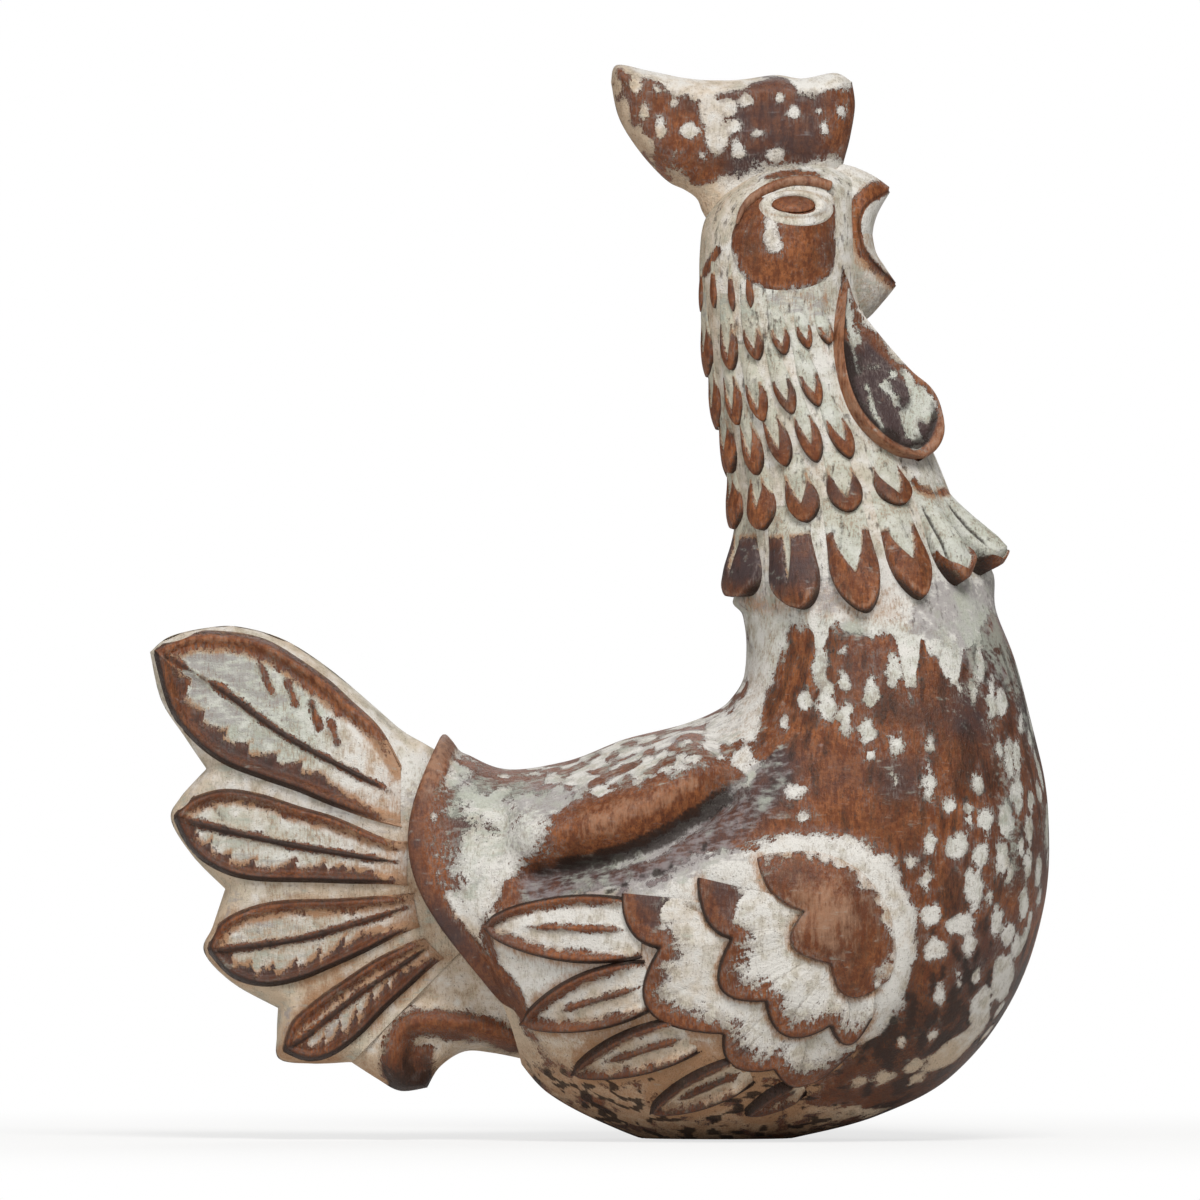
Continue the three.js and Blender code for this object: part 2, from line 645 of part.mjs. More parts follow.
// The mantle rim as seen from the tail's hub: bearing, distance and the body's half width there.
const rimFromHub = Array.from({ length: 60 }, (_, i) => {
  const f = (RIM_FOOT * i) / 59;
  const off = sidePoint(0, f).sub(drawn(TAIL_HUB));
  return { bearing: off.angle(), away: off.length(), half: halfWidth(0, f) };
});

// Half thickness of the fan over a side-view place: thick at the rim, thinner outwards and at its free edge.
function fanHalf(p) {
  const off = p.clone().sub(drawn(TAIL_HUB));
  const bearing = off.angle();
  const next = clamp(rimFromHub.findIndex((r) => r.bearing > bearing), 1, rimFromHub.length - 1);
  const [a, b] = [rimFromHub[next - 1], rimFromHub[next]];
  const t = clamp((bearing - a.bearing) / (b.bearing - a.bearing), 0, 1);
  const root = clamp(lerp(a.half, b.half, t) - RIM_STEP, TAIL_EDGE_HALF, TAIL_HALF);
  const out = clamp((off.length() - lerp(a.away, b.away, t)) / TAIL_RUN, 0, 1);
  const full = lerp(root, Math.min(root, TAIL_TIP_HALF), out);
  return lerp(Math.min(full, TAIL_EDGE_HALF), full, clamp(toEdge(p) / TAIL_EDGE_WIDE, 0, 1));
}

// A slab over a run of patches, symmetric about the middle plane, trimmed to the mantle rim.
function fanSlab(pieces, thickness) {
  const top = [];
  pieces.forEach((piece, k) => {
    const place = tailPatch(piece);
    for (let i = k === 0 ? 0 : 1; i <= PATCH_ACROSS; i++) {
      const v = i / PATCH_ACROSS;
      top.push(
        PATCH_ALONG.map((s) => {
          const p = place(s, v);
          return new THREE.Vector3(p.x, thickness(p, s, v), p.y);
        }),
      );
    }
  });
  const bottom = top.map((row) => row.map((p) => new THREE.Vector3(p.x, -p.y, p.z)));
  return toGeometry(toSolid(slab(top, bottom)).subtract(envelope.translate([-LUTE, 0, 0])));
}

// A carved leaf, laid on the left face of the fan and trimmed to it.
function tailFeather({ leaf }, fan) {
  const edges = [spline(leaf.lower), spline(leaf.upper)];
  const top = [];
  const bottom = [];
  for (let i = 0; i <= LEAF_STEPS; i++) {
    const s = lerp(0.04, 0.97, i / LEAF_STEPS);
    const [low, high] = edges.map((edge) => edge.getPoint(s));
    const row = LEAF_ACROSS.map((across) => {
      const p = low.clone().lerp(high, (across + 1) / 2);
      return { p, seat: fanHalf(p) + 2 * LUTE };
    });
    bottom.push(row.map(({ p, seat }) => new THREE.Vector3(p.x, seat, p.y)));
    top.push(row.map(({ p, seat }, j) => new THREE.Vector3(p.x, seat + TAIL_LIP * LEAF_RELIEF[j], p.y)));
  }
  return toGeometry(toSolid(slab(top, bottom)).subtract(fan.translate([0, LUTE, 0])));
}

// The curl hangs on under the last feather, one slip joint below it.
function tailCurl() {
  const fanEnd = TAIL_FEATHERS.at(-1).rim[1];
  const rimLength = rimPlace(fanEnd).distanceTo(rimPlace(RIM_FOOT));
  const below = { ...CURL, rim: [fanEnd + ((RIM_FOOT - fanEnd) * 2 * LUTE) / rimLength, RIM_FOOT] };
  below.outer = CURL.outer.map(([x, z], i) => (i === 0 ? [x + 2 * LUTE, z - 2 * LUTE] : [x, z]));
  const thickness = (p, s, v) => {
    const body = halfWidth(0, lerp(below.rim[0], below.rim[1], v));
    const root = clamp(body - RIM_STEP, TAIL_EDGE_HALF, TAIL_HALF);
    const full = lerp(root, CURL_HALF, s);
    return s === 1 || v === 1 ? Math.min(full, TAIL_EDGE_HALF) : full;
  };
  return fanSlab([below], thickness);
}

// Head pieces

function comb() {
  const { seat, rear, top: crest, front, half, edgeHalf } = COMB;
  const left = spline([seat[0], ...rear, crest[0]]);
  const right = spline([seat.at(-1), ...front, crest.at(-1)]);
  const place = patch(spline(seat), spline(crest), left, right);
  const across = [0, 0.06, 0.16, 0.28, 0.4, 0.52, 0.64, 0.76, 0.86, 0.95, 1];
  const along = [0, 0.3, 0.6, 0.85, 0.95, 1];
  const top = across.map((v) => {
    const nearSide = Math.min(1, Math.min(v, 1 - v) / 0.16);
    return along.map((s) => {
      const p = place(s, v);
      const round = Math.sqrt(Math.min(nearSide, Math.min(1, (1 - s) / 0.15)));
      return new THREE.Vector3(p.x, lerp(edgeHalf, half, round), p.y);
    });
  });
  const bottom = top.map((row) => row.map((p) => new THREE.Vector3(p.x, -p.y, p.z)));
  return toGeometry(toSolid(slab(top, bottom)).subtract(envelope));
}

// A jaw: a wedge between its outer and inner edges that thins to the tip.
function jaw({ outer, inner, half }) {
  const edges = [spline(outer), spline(inner)];
  const top = [];
  for (let i = 0; i <= 5; i++) {
    const s = i / 5;
    const thick = lerp(half[0], half[1], Math.pow(s, 0.8));
    const row = [];
    for (let j = 0; j <= 4; j++) {
      const v = j / 4;
      const p = edges[0].getPoint(s).lerp(edges[1].getPoint(s), v);
      const round = Math.sqrt(0.08 + 0.92 * Math.sin(Math.PI * v));
      row.push(new THREE.Vector3(p.x, Math.max(0.6, thick * round), p.y));
    }
    top.push(row);
  }
  const bottom = top.map((row) => row.map((p) => new THREE.Vector3(p.x, -p.y, p.z)));
  return toGeometry(toSolid(slab(top, bottom)).subtract(envelope));
}

// A grid over an ellipse, as rows of places with their share of the radius.
function discRows({ centre, half }, steps) {
  const middle = drawn(centre);
  const rows = [];
  for (let i = 0; i <= steps; i++) {
    const a = (2 * i) / steps - 1;
    rows.push([]);
    for (let j = 0; j <= steps; j++) {
      const b = (2 * j) / steps - 1;
      const across = a * Math.sqrt(1 - (b * b) / 2);
      const up = b * Math.sqrt(1 - (a * a) / 2);
      rows[i].push({
        x: middle.x + half[0] * across,
        z: middle.y + half[1] * up,
        radius: Math.min(1, Math.hypot(across, up)),
      });
    }
  }
  return rows;
}

const cheekThick = (radius) => CHEEK.rim + CHEEK.dome * Math.sqrt(Math.max(0, 1 - radius * radius));

function cheek() {
  const rows = discRows(CHEEK, 6);
  return laid(rows.map((row) => row.map((p) => ({ ...p, rise: LUTE, thick: cheekThick(p.radius) }))));
}

// How far the cheek's face lies off the head at a side-view place.
function cheekFace(x, z) {
  const middle = drawn(CHEEK.centre);
  const radius = Math.hypot((x - middle.x) / CHEEK.half[0], (z - middle.y) / CHEEK.half[1]);
  return LUTE + cheekThick(radius) + 2 * LUTE;
}

function pupil() {
  const rows = discRows({ centre: EYE.centre, half: EYE.pupil }, 4);
  return laid(rows.map((row) => row.map((p) => ({ ...p, rise: cheekFace(p.x, p.z), thick: EYE.thick }))));
}

function eyeRing() {
  const sides = 18;
  const middle = drawn(EYE.centre);
  const rows = [];
  for (let i = 0; i < sides; i++) {
    const angle = (2 * Math.PI * i) / sides;
    rows.push(
      [1 - EYE.ringWidth, 1].map((radius) => {
        const x = middle.x + EYE.ring[0] * radius * Math.cos(angle);
        const z = middle.y + EYE.ring[1] * radius * Math.sin(angle);
        return { x, z, rise: cheekFace(x, z), thick: EYE.thick };
      }),
    );
  }
  const seats = rows.map((row) => row.map((p) => ({ ...p, seat: flank(p.x, p.z) })));
  const at = (extra) => seats.map((row) => row.map((p) => raise(p.seat, p.rise + (extra ? p.thick : 0))));
  return slab(at(true), at(false), true);
}

// The brow: a rolled coil of clay over the cheek.
function brow() {
  const points = spline(BROW.line)
    .getPoints(6)
    .map(({ x, y }) => raise(flank(x, y), cheekFace(x, y) + BROW.radius));
  const section = new THREE.Shape().absarc(0, 0, BROW.radius, 0, 2 * Math.PI);
  const path = new THREE.CatmullRomCurve3(points);
  const coil = new THREE.ExtrudeGeometry(section, { steps: 8, extrudePath: path, curveSegments: 4 });
  return toGeometry(toSolid(coil));
}

// A wattle: a dished drop of clay from gape to throat, between a rear rim on the neck and a front rim.
function wattle(grow) {
  const rear = spline(WATTLE.rear);
  const front = spline(WATTLE.front);
  const steps = 8;
  const across = [0, 0.14, 0.5, 0.86, 1];
  const top = [];
  const bottom = [];
  for (let i = 0; i <= steps; i++) {
    const s = i / steps;
    const a = rear.getPoint(s);
    const b = front.getPoint(s);
    const seat = flank(a.x, a.y);
    const from = raise(seat, WATTLE.stand[0] + grow);
    const inset = Math.sin(Math.PI * s);
    const to = new THREE.Vector3(b.x + grow, lerp(from.y, WATTLE.stand[1], Math.pow(inset, 0.6)), b.y);
    const out = seat.n.clone().multiplyScalar(0.6).add(new THREE.Vector3(0.6, 0.4, 0)).normalize();
    const places = across.map((v) => {
      const swell = Math.sin(Math.PI * v) * 2.2 * inset;
      return from.clone().lerp(to, v).addScaledVector(out, swell + grow);
    });
    const lip = [0, 1, -0.6, 1, 0];
    top.push(places.map((p, j) => p.clone().addScaledVector(out, WATTLE.rim * lip[j] * inset)));
    bottom.push(places.map((p) => p.clone().addScaledVector(out, -WATTLE.thick - 2 * grow)));
  }
  const middle = block(-REACH, REACH, -REACH, grow > 0 ? -LUTE : LUTE / 2, -REACH, REACH);
  return toSolid(slab(top, bottom)).subtract(middle);
}

// Assembly

const rooster = new THREE.Group();

function add(name, geometry, finish) {
  const mesh = new THREE.Mesh(geometry, material(finish));
  mesh.name = name;
  rooster.add(mesh);
}

function addPair(name, geometry, finish) {
  add(`${name}_left`, geometry, finish);
  add(`${name}_right`, mirrored(geometry), finish);
}

const wattleLeft = wattle(0).subtract(envelope);
const wattleCut = wattle(2 * LUTE);
const wattlesCut = wattleCut.add(toSolid(mirrored(toGeometry(wattleCut))));

addPair("body_half", pressedHalf(), SLIP);
HACKLE.forEach((row, i) => {
  const band = toSolid(hackleRow(row, i === HACKLE.length - 1)).subtract(wattlesCut);
  add(`hackle_row_${i + 1}`, toGeometry(band), CLAY);
});
COVERTS.forEach((tier, i) => addPair(`wing_covert_${tier.name}`, covert(tier, COVERTS[i - 1]), CLAY));
QUILLS.forEach((shape, i) => addPair(`wing_quill_${i + 1}`, quill(shape), CLAY));
const fan = fanSlab(TAIL_FEATHERS, fanHalf);
add("tail_fan", fan, SLIP);
TAIL_FEATHERS.forEach((piece, i) => addPair(`tail_feather_${i + 1}`, tailFeather(piece, toSolid(fan)), CLAY));
add("tail_curl", tailCurl(), CLAY);
add("comb", comb(), CLAY);
add("beak_upper", jaw(UPPER_BEAK), SLIP);
add("beak_lower", jaw(LOWER_BEAK), SLIP);
addPair("wattle", toGeometry(wattleLeft), CLAY);
addPair("cheek", cheek(), CLAY);
addPair("eye_ring", eyeRing(), SLIP);
addPair("pupil", pupil(), CLAY);
addPair("brow", brow(), CLAY);

export default rooster;
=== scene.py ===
"""Earthenware rooster: burnished brown clay with white slip left in the hollows and dabbed on the breast.

Form values are in millimetres in side view: x towards the beak, z up; the pieces are made in metres.
Outlines come from a sketch drawn at four units to the millimetre, see sketch().

Short names: u is a station of the body and f the share of its section from back to front; s is the share
along a piece and v the place across it; d is the depth inside an outline, negative outside it.
"""

import math
from types import SimpleNamespace

import bpy
import numpy as np
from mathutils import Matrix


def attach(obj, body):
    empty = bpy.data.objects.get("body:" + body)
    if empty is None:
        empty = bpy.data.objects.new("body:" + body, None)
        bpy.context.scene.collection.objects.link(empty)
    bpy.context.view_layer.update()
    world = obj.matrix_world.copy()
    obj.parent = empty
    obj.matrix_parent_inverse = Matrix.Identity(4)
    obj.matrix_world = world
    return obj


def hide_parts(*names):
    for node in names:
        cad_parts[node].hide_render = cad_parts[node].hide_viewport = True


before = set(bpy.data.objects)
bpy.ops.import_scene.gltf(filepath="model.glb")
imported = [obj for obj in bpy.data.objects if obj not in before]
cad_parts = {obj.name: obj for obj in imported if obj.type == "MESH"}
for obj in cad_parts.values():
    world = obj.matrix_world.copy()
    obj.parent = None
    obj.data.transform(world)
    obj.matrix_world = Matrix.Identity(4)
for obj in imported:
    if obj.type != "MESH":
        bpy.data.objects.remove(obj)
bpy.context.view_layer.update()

MM = 0.001
SKETCH_ORIGIN = (600.0, 1138.0)
SKETCH_UNITS = 4


def sketch(*points):
    """Places drawn on the sketch (units right and down), as x and z in millimetres."""
    drawn = np.array(points, float)
    return np.stack([drawn[:, 0] - SKETCH_ORIGIN[0], SKETCH_ORIGIN[1] - drawn[:, 1]], 1) / SKETCH_UNITS


# Small maths


def ease(low, high, x):
    """0 below low, 1 above high, smooth between."""
    t = np.clip((np.asarray(x, float) - low) / (high - low), 0, 1)
    return t * t * (3 - 2 * t)


def blend(a, b, t):
    """From a to b, at share t of the way."""
    return a + (b - a) * t


def through(points, t):
    """Smooth curve through the points, at shares t of it."""
    points = np.asarray(points, float)
    last = len(points) - 1
    t = np.clip(np.asarray(t, float), 0, 1) * last
    i = np.minimum(np.floor(t).astype(int), last)
    w = (t - i)[..., None]
    p0 = points[np.maximum(i - 1, 0)]
    p1 = points[i]
    p2 = points[np.minimum(i + 1, last)]
    p3 = points[np.minimum(i + 2, last)]
    v0 = (p2 - p0) / 2
    v1 = (p3 - p1) / 2
    return (2 * p1 - 2 * p2 + v0 + v1) * w**3 + (3 * p2 - 3 * p1 - 2 * v0 - v1) * w**2 + v0 * w + p1


def curve(points, count):
    """Evenly stepped places along a smooth curve through the points."""
    return through(points, np.linspace(0, 1, count))


def held(x):
    """Values kept between 0 and 1."""
    return np.clip(x, 0, 1)


def unit(v):
    """Directions of length one."""
    return v / np.linalg.norm(v, axis=-1, keepdims=True)


def window(x, rise, fall):
    """1 between two slopes, each given by the place where it is 0 and the place where it is 1."""
    return ease(*rise, x) * ease(*fall, x)


def bell(x, width):
    """1 at zero, falling away over about the width."""
    return np.exp(-((x / width) ** 2))


def round_over(d, radius):
    """Height from 0 to 1 of an edge rounded over the radius, at depth d inside it."""
    return np.sqrt(1 - (1 - held(d / radius)) ** 2)


def lattice_value(i, j, k, seed):
    """Scrambled values from 0 to 1, one for each whole-number place."""
    n = (i * 374761393 + j * 668265263 + k * 2147483647 + seed * 974634777) & 0xFFFFFFFF
    n = ((n ^ (n >> 13)) * 1274126177) & 0xFFFFFFFF
    n = ((n ^ (n >> 16)) * 2246822519) & 0xFFFFFFFF
    return ((n ^ (n >> 15)) & 0xFFFFFF) / float(0xFFFFFF)


def mottle(places, size, seed=0):
    """Smooth random values from -1 to 1 over places, with lumps of about the given size."""
    q = np.asarray(places, float) / size
    cell = np.floor(q).astype(np.int64)
    w = q - cell
    w = w * w * (3 - 2 * w)
    total = 0
    for corner in np.ndindex(2, 2, 2):
        share = np.where(corner, w, 1 - w).prod(-1)
        total = total + share * lattice_value(*np.moveaxis(cell + corner, -1, 0), seed)
    return 2 * total - 1


def lumps(places, *layers):
    """A sum of mottles: the share, size and seed of each."""
    return sum(share * mottle(places, size, seed) for share, size, seed in layers)


def ripple(t, seed=0):
    """Smooth random values from -1 to 1 along one direction."""
    t = np.asarray(t, float)
    middle = np.full_like(t, 0.5)
    return mottle(np.stack([t, middle, middle], -1), 1.0, seed)


def side_on(x, z):
    """Side-view places as points of the middle plane."""
    return np.stack([x, 0 * x, z], -1)


def joined(*runs):
    """Runs of side-view places, one after the other."""
    return np.concatenate([np.reshape(run, (-1, 2)) for run in runs])


def depth_inside(outline, x, z):
    """How far places lie inside a closed outline: negative outside."""
    best = np.full(np.shape(x), 1e9)
    inside = np.zeros(np.shape(x), bool)
    for (ax, az), (bx, bz) in zip(outline, np.roll(outline, -1, 0)):
        ex, ez = bx - ax, bz - az
        t = np.clip(((x - ax) * ex + (z - az) * ez) / (ex * ex + ez * ez + 1e-12), 0, 1)
        best = np.minimum(best, np.hypot(x - ax - t * ex, z - az - t * ez))
        crosses = (az > z) != (bz > z)
        inside ^= crosses & (x < (bx - ax) * (z - az) / (bz - az + 1e-12) + ax)
    return np.where(inside, best, -best)


def beside_line(line, x, z):
    """Distance from an open line, its sign (positive on the left of its run) and the share along it."""
    best = np.full(np.shape(x), 1e9)
    sign = np.ones(np.shape(x))
    share = np.zeros(np.shape(x))
    count = len(line) - 1
    for k in range(count):
        (ax, az), (bx, bz) = line[k], line[k + 1]
        ex, ez = bx - ax, bz - az
        t = np.clip(((x - ax) * ex + (z - az) * ez) / (ex * ex + ez * ez), 0, 1)
        d = np.hypot(x - ax - t * ex, z - az - t * ez)
        nearer = d < best
        best = np.where(nearer, d, best)
        sign = np.where(nearer, np.where(ex * (z - az) - ez * (x - ax) >= 0, 1, -1), sign)
        share = np.where(nearer, (k + t) / count, share)
    return best, sign, share


def from_line(line, x, z):
    """Distance from an open line."""
    return beside_line(line, x, z)[0]


# Body form

# From the rump to the crown: back x and z, front x and z, half width.
STATIONS = np.array([
    (-40, 100.1, -20, 19, 23),
    (-25, 92.3, -13, 11.5, 30),
    (-9, 93.8, 0, 4.3, 36.5),
    (6.5, 99.5, 16, -1.3, 41.5),
    (21, 103.3, 33.5, -2.2, 44.5),
    (30, 107.2, 51.5, 0.9, 46),
    (34, 111.2, 70, 6, 46),
    (35.8, 114.5, 88, 15.5, 45.5),
    (36.4, 117.5, 102.8, 34, 44.5),
    (36.6, 120.7, 111, 58, 43),
    (36.6, 124, 112, 81, 41),
    (36.3, 127, 109, 100, 38.5),
    (35.6, 131, 103.7, 119, 36),
    (34.6, 137.5, 97.3, 134.5, 33.5),
    (33.9, 148, 92.3, 148, 31),
    (33, 160, 87.9, 160, 28),
    (30.8, 172.5, 82.6, 172.5, 25.5),
    (28.2, 184.5, 75.5, 184.5, 23.5),
    (26.2, 197, 69.5, 197, 22),
    (25.1, 209.5, 65.6, 209, 21.3),
    (24.8, 221, 65.4, 221, 21),
    (26, 229.5, 65.2, 231, 19.5),
    (30.5, 236, 64.2, 239.5, 16),
    (38, 241, 56, 243.5, 9),
])
LAST = len(STATIONS) - 1
# How full a section is, and how far the rim of the mantle bows back (mm), up to a share of the section
# and fading out over the first stations
FULLNESS = 0.9
RIM_BOW = 15
RIM_END = 0.8
RIM_FADE = 2

BACK_GROOVE = curve(sketch((508, 868), (560, 860), (630, 843), (690, 812), (742, 774)), 25)
WING_GROUND = sketch(
    (492, 915), (560, 895), (640, 880), (700, 858), (770, 838), (830, 832), (885, 855), (908, 900),
    (914, 950), (899, 1000), (866, 1036), (826, 1066), (760, 1104), (660, 1112), (590, 1085), (540, 1040),
    (500, 980),
)


def section_share(angle):
    """Share of the section from back to front, at an angle round it."""
    return (1 - np.cos(angle)) / 2


def side_place(u, f):
    """x and z at station u, at share f of the section from the back to the front."""
    rail = through(STATIONS, u / LAST)
    place = blend(rail[..., 0:2], rail[..., 2:4], f[..., None])
    fade = np.clip(1 - u / RIM_FADE, 0, None)
    place[..., 0] -= RIM_BOW * fade**2 * np.sin(np.pi * np.minimum(f / RIM_END, 1))
    return place


def half_width(u, f):
    """Half width of the bare form at station u and share f."""
    half = through(STATIONS[:, 4:5], u / LAST)[..., 0]
    return half * (2 * np.sqrt(np.clip(f * (1 - f), 0, None))) ** FULLNESS


def bare_skin(u, angle):
    """Points of the body form before it is worked."""
    f = section_share(angle)
    place = side_place(u, f)
    y = np.sign(np.sin(angle)) * half_width(u, f)
    return np.stack([place[..., 0], y, place[..., 1]], -1)


# How the clay is worked (mm): the back's ridge, the groove and hollow below it, the wing and the moat
# round it, the lip of the mantle and the fill under the throat and the nape
RIDGE_RISE = 5.2
GROOVE_CUT = 3.6
HOLLOW_CUT = 1.4
WING_RISE = 1.4
MOAT_CUT = 0.8
LIP_RISE = 1.4
LIP_GROOVE = 0.5
LIP_ROUNDING = 1.5
THROAT_FILL = 3.0
NAPE_FILL = 2.0


def swell(place, u):
    """Broad hand-worked forms on the body: how far the clay stands off the bare form."""
    x, y, z = np.moveaxis(place, -1, 0)
    off, sign, share = beside_line(BACK_GROOVE, x, z)
    above = off * sign
    along = window(share, (0, 0.16), (1, 0.86)) * ease(8, 20, np.abs(y))
    ridge = RIDGE_RISE * window(above, (-1, 6), (24, 6))
    ridge = ridge - GROOVE_CUT * bell(above + 1.5, 2.6) - HOLLOW_CUT * bell(above + 7, 6)
    in_wing = depth_inside(WING_GROUND, x, z)
    moat = bell(in_wing + 1.5, 3) * ease(25, 40, x)
    wing = (WING_RISE * ease(-4, 3, in_wing) - MOAT_CUT * moat) * ease(10, 24, np.abs(y))
    lip = (LIP_RISE * ease(0.5, 0.0, u) - LIP_GROOVE * bell(u - 0.42, 0.1)) * ease(20, 42, z)
    lip = lip - LIP_ROUNDING * (1 - round_over(u, 0.14))
    near_seam = ease(17, 5, np.abs(y))
    throat = THROAT_FILL * bell(u - 13.4, 0.4) * near_seam * (x > 60)
    nape = NAPE_FILL * bell(u - 12.55, 0.34) * near_seam * (x < 60)
    hand = lumps(place, (0.35, 34, 3), (0.2, 15, 4))
    return np.where(u < 12, along * ridge + wing, 0) + lip + hand + throat + nape


def skin(u, angle):
    """Points of the worked body and the outward directions there. Positive angles are on the bird's left."""
    u = np.asarray(u, float)
    angle = np.asarray(angle, float)
    place = bare_skin(u, angle)
    along = bare_skin(np.minimum(u + 0.02, LAST), angle) - bare_skin(np.maximum(u - 0.02, 0), angle)
    # this step is longer, because the section turns sharply at the middle plane
    around = bare_skin(u, angle + 0.03) - bare_skin(u, angle - 0.03)
    out = np.cross(along, around)
    out /= np.linalg.norm(out, axis=-1, keepdims=True) + 1e-12
    return place + out * swell(place, u)[..., None], out


GUESS_GRID = np.meshgrid(np.arange(0, LAST + 0.01, 0.25), np.arange(0.04, 1, 0.04), indexing="ij")
GUESS_U, GUESS_F = [values.ravel() for values in GUESS_GRID]
GUESS_AT = side_place(GUESS_U, GUESS_F)
BATCH = 4000
NEWTON_STEPS = 10


def over_flank(x, z):
    """Station and angle of the left flank's point that lies over side-view places."""
    shape = np.shape(x)
    x, z = np.ravel(x), np.ravel(z)
    near = np.empty(len(x), int)
    for first in range(0, len(x), BATCH):
        batch = slice(first, first + BATCH)
        far = (x[batch, None] - GUESS_AT[:, 0]) ** 2 + (z[batch, None] - GUESS_AT[:, 1]) ** 2
        near[batch] = far.argmin(1)
    u, f = GUESS_U[near], GUESS_F[near]
    step = 1e-3
    for _ in range(NEWTON_STEPS):
        at = side_place(u, f)
        by_u = (side_place(u + step, f) - at) / step
        by_f = (side_place(u, f + step) - at) / step
        area = by_u[:, 0] * by_f[:, 1] - by_u[:, 1] * by_f[:, 0]
        area = np.where(np.abs(area) < 1, 1, area)
        off_x, off_z = x - at[:, 0], z - at[:, 1]
        move_u = (off_x * by_f[:, 1] - off_z * by_f[:, 0]) / area
        move_f = (by_u[:, 0] * off_z - by_u[:, 1] * off_x) / area
        u = np.clip(u + np.clip(move_u, -1, 1), 0, LAST - 0.01)
        f = np.clip(f + np.clip(move_f, -0.2, 0.2), 0.003, 0.997)
    return u.reshape(shape), np.arccos(1 - 2 * f).reshape(shape)


def on_flank(x, z):
    """Points of the left flank over side-view places, and the outward directions there."""
    return skin(*over_flank(x, z))


# Finishes


class Value:
    """A shader socket that takes part in sums."""

    def __init__(self, finish, socket):
        self.finish = finish
        self.socket = socket

    def _with(self, operation, a, b):
        return self.finish.node("Math", {"operation": operation}, a, b)

    def __add__(self, other):
        return self._with("ADD", self, other)

    __radd__ = __add__

    def __sub__(self, other):
        return self._with("SUBTRACT", self, other)

    def __rsub__(self, other):
        return self._with("SUBTRACT", other, self)

    def __mul__(self, other):
        return self._with("MULTIPLY", self, other)

    __rmul__ = __mul__

    def low(self, other):
        return self._with("MINIMUM", self, other)

    def high(self, other):
        return self._with("MAXIMUM", self, other)


class Finish:
    """The node tree of a material or of the world."""

    def __init__(self, owner):
        owner.use_nodes = True
        self.tree = owner.node_tree
        self.tree.nodes.clear()

    def put(self, socket, value):
        """Sets a socket to a constant, or links it to a value."""
        if isinstance(value, Value):
            self.tree.links.new(value.socket, socket)
        elif value is not None:
            socket.default_value = (*value, 1) if socket.type == "RGBA" else value

    def node(self, kind, settings, *inputs, output=0, **named):
        """Adds a node with its settings, then the constants or links of its sockets."""
        made = self.tree.nodes.new("ShaderNode" + kind)
        for key, value in settings.items():
            setattr(made, key, value)
        for socket, value in zip(made.inputs, inputs):
            self.put(socket, value)
        for key, value in named.items():
            self.put(made.inputs[key], value)
        return Value(self, made.outputs[output])

    def end(self, kind, shader):
        """Closes the tree with its output node."""
        self.put(self.tree.nodes.new("ShaderNode" + kind).inputs["Surface"], shader)

    def object_place(self):
        return self.node("TexCoord", {}, output="Object")

    def camera_ray(self):
        return self.node("LightPath", {}, output="Is Camera Ray")

    def mark(self, name):
        """A value that the piece carries at each point."""
        return self.node("Attribute", {"attribute_name": name}, output="Fac")

    def noise(self, place, scale, detail=2.0, rough=0.55, stretch=None):
        if stretch:
            place = self.node("Mapping", {}, Vector=place, Scale=stretch)
        grain = {"Scale": scale, "Detail": detail, "Roughness": rough}
        return self.node("TexNoise", {}, output="Fac", Vector=place, **grain)

    def mix(self, share, a, b):
        """A mix of colours. The node's five sockets for other kinds of value are passed over."""
        return self.node("Mix", {"data_type": "RGBA"}, share, *[None] * 5, a, b, output=2)

    def step(self, value, low, high):
        """0 below low, 1 above high, smooth between."""
        return self.node("MapRange", {"interpolation_type": "SMOOTHSTEP"}, value, low, high, 0.0, 1.0)


# Colours (linear)
BROWN = (0.126, 0.0350, 0.0102)
TAN = (0.30, 0.101, 0.031)
DARK_BROWN = (0.030, 0.0125, 0.0075)
# near black of painted shade in creases, under edges and towards the bottom, also of dark hairs and marks
DEEP = (0.016, 0.0078, 0.0048)
# plum tint of the clay, also used as painted shade in hollows and on lower sides
PLUM = (0.048, 0.031, 0.031)
THIN_SLIP = (0.225, 0.180, 0.160)
WHITE_SLIP = (0.665, 0.640, 0.592)
BEIGE_SLIP = (0.54, 0.42, 0.30)
GREEN_SLIP = (0.43, 0.465, 0.385)
SOILED_SLIP = (0.30, 0.245, 0.19)
STAIN = (0.35, 0.175, 0.080)
WASH_GREY = (0.27, 0.238, 0.238)
WASH_GREEN = (0.40, 0.425, 0.36)
GRIME = (0.075, 0.050, 0.036)
# lighter tan of a painted sheen, laid where burnished forms catch the light
PAINTED_SHEEN_TAN = (0.345, 0.188, 0.112)

MARKS = ("slip", "soot", "moss", "warm", "stain", "wash", "shade", "painted_sheen")


def clay_values(f):
    """The marks of a piece, and noises over it: broad patches, fine grain and brush strokes."""
    place = f.object_place()
    return SimpleNamespace(
        broad=f.noise(place, 48, 3),
        patchy=f.noise(place, 240, 4, 0.6),
        ragged=f.noise(place, 820, 4, 0.65),
        grain=f.noise(place, 2500, 3, 0.6),
        brushed=f.noise(place, 480, 3, 0.6, stretch=(1.7, 1.7, 0.35)),
        hairs=f.noise(place, 1500, 3, 0.65, stretch=(1.5, 1.5, 0.32)),
        strokes=f.noise(place, 620, 3, 0.6, stretch=(0.3, 1.4, 1.4)),
        **{name: f.mark(name) for name in MARKS},
    )


